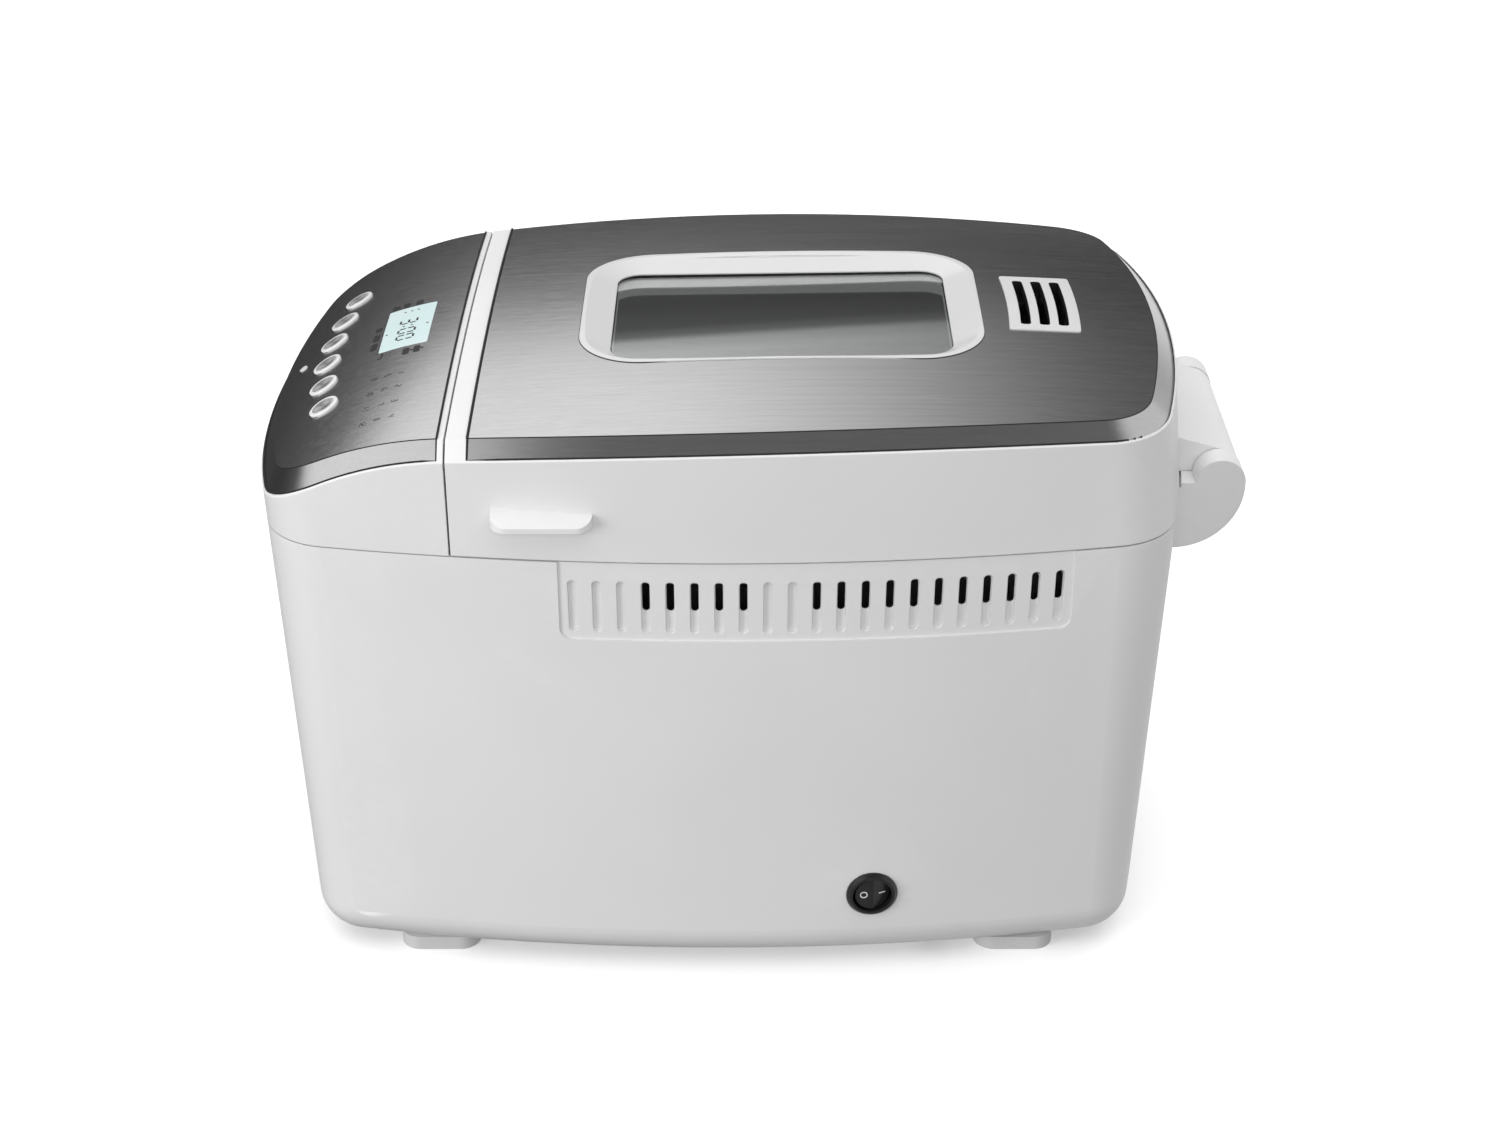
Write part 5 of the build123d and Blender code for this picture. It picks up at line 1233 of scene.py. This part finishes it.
    def figures(self) -> Piece:
        """Dark figures of a plain time and small dots on the display.

        Returns:
            The piece with all figures.
        """
        sketch = SolidSketch()
        x, y = self.display[0] + self.time_shift, self.display[1]
        for figure, step in self.time:
            self.digit(sketch, figure, x + step * self.digit_pitch, y)
        step, lift = self.colon
        dot = rounded_bar(self.stroke, self.stroke, self.bar_round * self.stroke)
        for rise in (-lift, lift):
            self.stamp(sketch, dot, x + step * self.digit_pitch, y + rise)
        for place in self.DISPLAY_DOTS:
            self.sign(sketch, circle(self.dot_radius, self.dot_steps), *place)
        piece = sketch.finish("display_figures", self.palette["display_ink"])
        return settle(piece, "body")

    def numbers(self, sketch: SolidSketch) -> None:
        """Add the printed program numbers, three lines of four.

        Args:
            sketch: Mesh that takes the numbers.
        """
        for program in range(1, self.programs + 1):
            line, column = divmod(program - 1, self.program_columns)
            x = self.program_corner[0] + column * self.program_pitch[0]
            y = self.program_corner[1] - line * self.program_pitch[1]
            marks = str(program)
            for index, mark in enumerate(marks):
                step = (index - (len(marks) - 1) / 2) * self.digit_pitch * self.program_scale
                self.digit(sketch, int(mark), x + step, y, self.program_scale)

    def signs(self) -> Piece:
        """Printed loaf, size and crust signs round the display, and the program numbers.

        Returns:
            The piece with all signs.
        """
        sketch = SolidSketch()
        for place in self.LOAVES:
            self.sign(sketch, loaf(*self.loaf_size), *place)
        for width, height, radius, *place in self.BARS:
            self.sign(sketch, rounded_bar(width * MM, height * MM, radius * MM), *place)
        for place in self.ARROWS:
            self.sign(sketch, list(self.ARROW), *place)
        self.numbers(sketch)
        piece = sketch.finish("panel_signs", self.palette["panel_ink"])
        return settle(piece, "body")

    def pieces(self) -> list[Piece]:
        """Steel facia and its painted shadow lines, button caps and discs, figures and signs.

        Returns:
            The new pieces.
        """
        buttons = range(1, self.button_count + 1)
        return [*self.steel("control", PANEL_CROWN, End.HINGE, "body"), *map(self.cap, buttons),
                *map(self.disc, buttons), self.figures(), self.signs()]


@dataclass
class PowerSwitch(SubAssembly):
    """Round rocker switch in the right-hand wall."""

    wall_radius: float = 905.0 * MM
    wall_draft: float = 3.0
    half_width: float = 127.6 * MM
    middle: Point = (66.4 * MM, 42.7 * MM)
    pivot_depth: float = 2.3 * MM
    crest: float = 3.4 * MM
    tilt: float = 10.0
    mark_reach: float = 4.3 * MM
    mark_height: float = 0.08 * MM
    mark_sink: float = 0.02 * MM
    ring_radii: Point = (1.25 * MM, 1.75 * MM)
    bar_size: Place = (3.4 * MM, 0.6 * MM, 0.25 * MM)

    FINISHES = {"switch_black": ("switch_body", "rocker")}

    def pivot(self) -> Matrix:
        """Matrix at the rocker's pivot: X towards the hinge end, Y up the wall and Z outwards.

        Returns:
            The pivot's matrix.
        """
        y, z = self.middle
        slope = radians(self.wall_draft)
        radius = self.wall_radius - (SEAM - z) * tan(slope)
        swing = y / radius
        lean = (swing, sqrt(1.0 - swing ** 2))
        outward = Vector((lean[1] * cos(slope), lean[0] * cos(slope), -sin(slope)))
        back = Vector((-lean[0], lean[1], 0.0))
        x = radius * lean[1] - (self.wall_radius - self.half_width)
        origin = Vector((x, y + ORIGIN_Y, z)) - outward * self.pivot_depth
        turn = Matrix((back, outward.cross(back), outward)).transposed()
        return Matrix.Translation(origin) @ turn.to_4x4()

    def face(self, side: End) -> Matrix:
        """Plane on the middle of one flat of the tipped rocker.

        Args:
            side: End of the machine that the flat lies towards.

        Returns:
            The plane's matrix.
        """
        tip = Matrix.Rotation(radians(self.tilt), 4, "Y")
        crest = Matrix.Translation((0.0, 0.0, self.crest))
        slope = Matrix.Rotation(radians(side * self.tilt), 4, "Y")
        middle = Matrix.Translation((side * self.mark_reach, 0.0, -self.mark_sink))
        return self.pivot() @ tip @ crest @ slope @ middle

    def pieces(self) -> list[Piece]:
        """Printed off ring and on bar.

        Returns:
            The two marks.
        """
        ring, bar = SolidSketch(), SolidSketch()
        ring.ring(self.ring_radii, self.mark_height, self.face(End.CONTROL))
        bar.prism(rounded_bar(*self.bar_size), self.mark_height, self.face(End.HINGE))
        marks = {"switch_off_ring": ring, "switch_on_bar": bar}
        return [settle(sketch.finish(name, self.palette["mark_white"]), "rocker")
                for name, sketch in marks.items()]


class Inside(SubAssembly):
    """Baking chamber, pan, paddles and the drive below them."""

    FINISHES = {
        "chamber_sheet": ("baking_chamber", "element_supports"),
        "element_oxide": ("heating_element",),
        "plated_bright": ("temperature_probe", "pan_clips", "pan_handle", "drive_shaft_front",
                          "drive_shaft_back", "pan_shaft_front", "pan_shaft_back", "motor_shaft"),
        "casting_rough": ("drive_base",),
        "bush_bronze": ("shaft_bushes", "pan_bushes"),
        "motor_lacquer": ("motor", "motor_bracket"),
        "capacitor_shell": ("motor_capacitor",),
        "board_green": ("power_board",),
        "belt_rubber": ("drive_belt", "link_belt"),
        "pulley_nylon": ("motor_pulley", "drive_pulley", "link_pulley_front", "link_pulley_back"),
        "pan_nonstick": ("bread_pan", "paddle_front", "paddle_back"),
    }


@dataclass(frozen=True)
class SoftBox:
    """One rectangular lamp, seen neither in gloss nor through glass."""

    name: str
    place: Place
    target: Place
    size: Point
    power: float

    def build(self) -> None:
        """Hang the lamp and aim it."""
        data = bpy.data.lights.new(self.name, "AREA")
        data.shape = "RECTANGLE"
        data.size, data.size_y = self.size
        data.energy = self.power
        lamp = shown(self.name, data)
        lamp.location = self.place
        aim = Vector(self.target) - Vector(self.place)
        lamp.rotation_euler = aim.to_track_quat("-Z", "Y").to_euler()
        lamp.visible_glossy = lamp.visible_transmission = False


@dataclass
class Studio:
    """Pale floor, soft light and the camera at the photograph's place."""

    camera_place: Place = (1.089, 0.0, 0.734)
    camera_dip: float = 28.3
    focal_pixels: float = 2656.0
    image_width: float = 1500.0
    sensor: float = 36.0
    sight_end: float = 50.0
    floor_half: float = 1.6
    floor_glow: float = 0.22
    screen_edge: Point = (0.22, -0.12)
    softbox_edge: Point = (-0.24, -0.42)
    front_edge: Point = (-0.12, 0.12)
    sweep_edge: Point = (0.5, 0.75)
    lamps: tuple[SoftBox, ...] = (
        SoftBox("lamp_top", (0.0, 0.0, 2.6), (0.0, 0.0, 0.2), (4.5, 4.5), 69.0),
        SoftBox("lamp_side", (2.2, 0.2, 0.9), (0.0, 0.0, 0.12), (1.8, 1.4), 13.0),
        SoftBox("lamp_far", (-2.0, 0.9, 1.1), (0.0, 0.0, 0.12), (1.8, 1.4), 14.0),
        SoftBox("lamp_left", (1.0, -1.5, 0.4), (0.0, -0.05, 0.12), (0.9, 0.9), 15.0),
    )

    WALLS = {  # sine of the height angle and the light there
        "screen": ((-1.0, 0.07), (0.0, 0.06), (0.14, 0.09), (0.26, 0.12), (0.36, 0.17),
                   (0.395, 0.3), (0.43, 0.95), (0.47, 1.2), (0.56, 1.28), (1.0, 1.0)),
        "beside": ((-1.0, 1.0), (-0.06, 1.0), (0.02, 0.6), (0.09, 0.1), (0.3, 0.06), (0.45, 0.12),
                   (0.6, 0.13), (1.0, 0.9)),
        "before": ((-1.0, 0.4), (0.0, 0.35), (0.4, 0.4), (0.7, 0.25), (0.84, 0.13), (0.94, 0.2),
                   (1.0, 0.9)),
        "softbox": ((-1.0, 0.5), (0.0, 0.5), (0.2, 0.9), (0.5, 1.15), (0.9, 1.1), (1.0, 1.0)),
        "sweep": ((-1.0, 0.9), (1.0, 0.85)),
        "plain": ((-1.0, 0.2), (-0.05, 0.22), (0.05, 0.38), (1.0, 0.36)),
    }
    FLOOR = {"Base Color": (*grey(0.98), 1.0), "Roughness": 0.9, "Specular IOR Level": 0.1,
             "Emission Color": WHITE}

    def build(self) -> None:
        """Set up floor, lamps, surroundings and camera."""
        self.floor()
        for lamp in self.lamps:
            lamp.build()
        self.surroundings()
        self.camera()
        bpy.context.scene.view_settings.view_transform = "Standard"

    def floor(self) -> None:
        """Lay the pale floor."""
        sketch = SolidSketch()
        half = self.floor_half
        corners = [(-half, -half, 0.0), (half, -half, 0.0), (half, half, 0.0), (-half, half, 0.0)]
        sketch.mesh.faces.new(sketch.row(corners, Matrix.Identity(4)))
        material = bpy.data.materials.new("floor_pale")
        material.use_nodes = True
        shader = material.node_tree.nodes["Principled BSDF"]
        for socket, value in {**self.FLOOR, "Emission Strength": self.floor_glow}.items():
            shader.inputs[socket].default_value = value
        floor = sketch.finish("floor", material)
        floor.visible_glossy = floor.visible_diffuse = False

    def surroundings(self) -> None:
        """Soft room: a bright screen high up behind the machine, and dim walls below and beside it.

        Gloss reflects the room, the camera sees a white backdrop and the rest is plain light.
        """
        world = bpy.data.worlds.new("room")
        bpy.context.scene.world = world
        world.use_nodes = True
        canvas = NodeCanvas(world.node_tree)
        direction = canvas.add("ShaderNodeTexCoord").outputs["Generated"]
        parts = canvas.add("ShaderNodeSeparateXYZ", {0: direction})
        height = canvas.span(parts.outputs["Z"], 0.5, 1.0)
        walls = {
            name: canvas.ramp(height, [(0.5 + 0.5 * rise, grey(light)) for rise, light in levels])
            for name, levels in self.WALLS.items()}
        x, y = parts.outputs["X"], parts.outputs["Y"]
        behind = canvas.mix(canvas.step(y, *self.screen_edge), walls["beside"], walls["screen"])
        front = canvas.mix(canvas.step(y, *self.softbox_edge), walls["before"], walls["softbox"])
        room = canvas.mix(canvas.step(x, *self.front_edge), behind, front)
        room = canvas.mix(canvas.step(y, *self.sweep_edge), room, walls["sweep"])
        rays = canvas.add("ShaderNodeLightPath").outputs
        lit = canvas.mix(rays["Is Glossy Ray"], walls["plain"], room)
        seen = canvas.mix(rays["Is Camera Ray"], lit, WHITE)
        canvas.link(seen, world.node_tree.nodes["Background"].inputs["Color"])

    def camera(self) -> None:
        """Put the camera where the photograph was taken from."""
        data = bpy.data.cameras.new("camera")
        data.sensor_width = self.sensor
        data.lens = self.focal_pixels / self.image_width * self.sensor
        data.clip_end = self.sight_end
        camera = shown("camera", data)
        camera.location = self.camera_place
        camera.rotation_euler = (radians(90.0 - self.camera_dip), 0.0, radians(90.0))
        bpy.context.scene.camera = camera


def main() -> None:
    """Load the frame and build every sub-assembly."""
    logging.basicConfig(level=logging.INFO, format="%(name)s: %(message)s")
    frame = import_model()
    palette = Palette()
    for kind in (Housing, Lid, ControlPanel, PowerSwitch, Inside):
        for piece in kind(frame, palette).build():
            LOG.info("%s: %s", kind.__name__, piece.name)
    Studio().build()


if __name__ == "__main__":
    main()
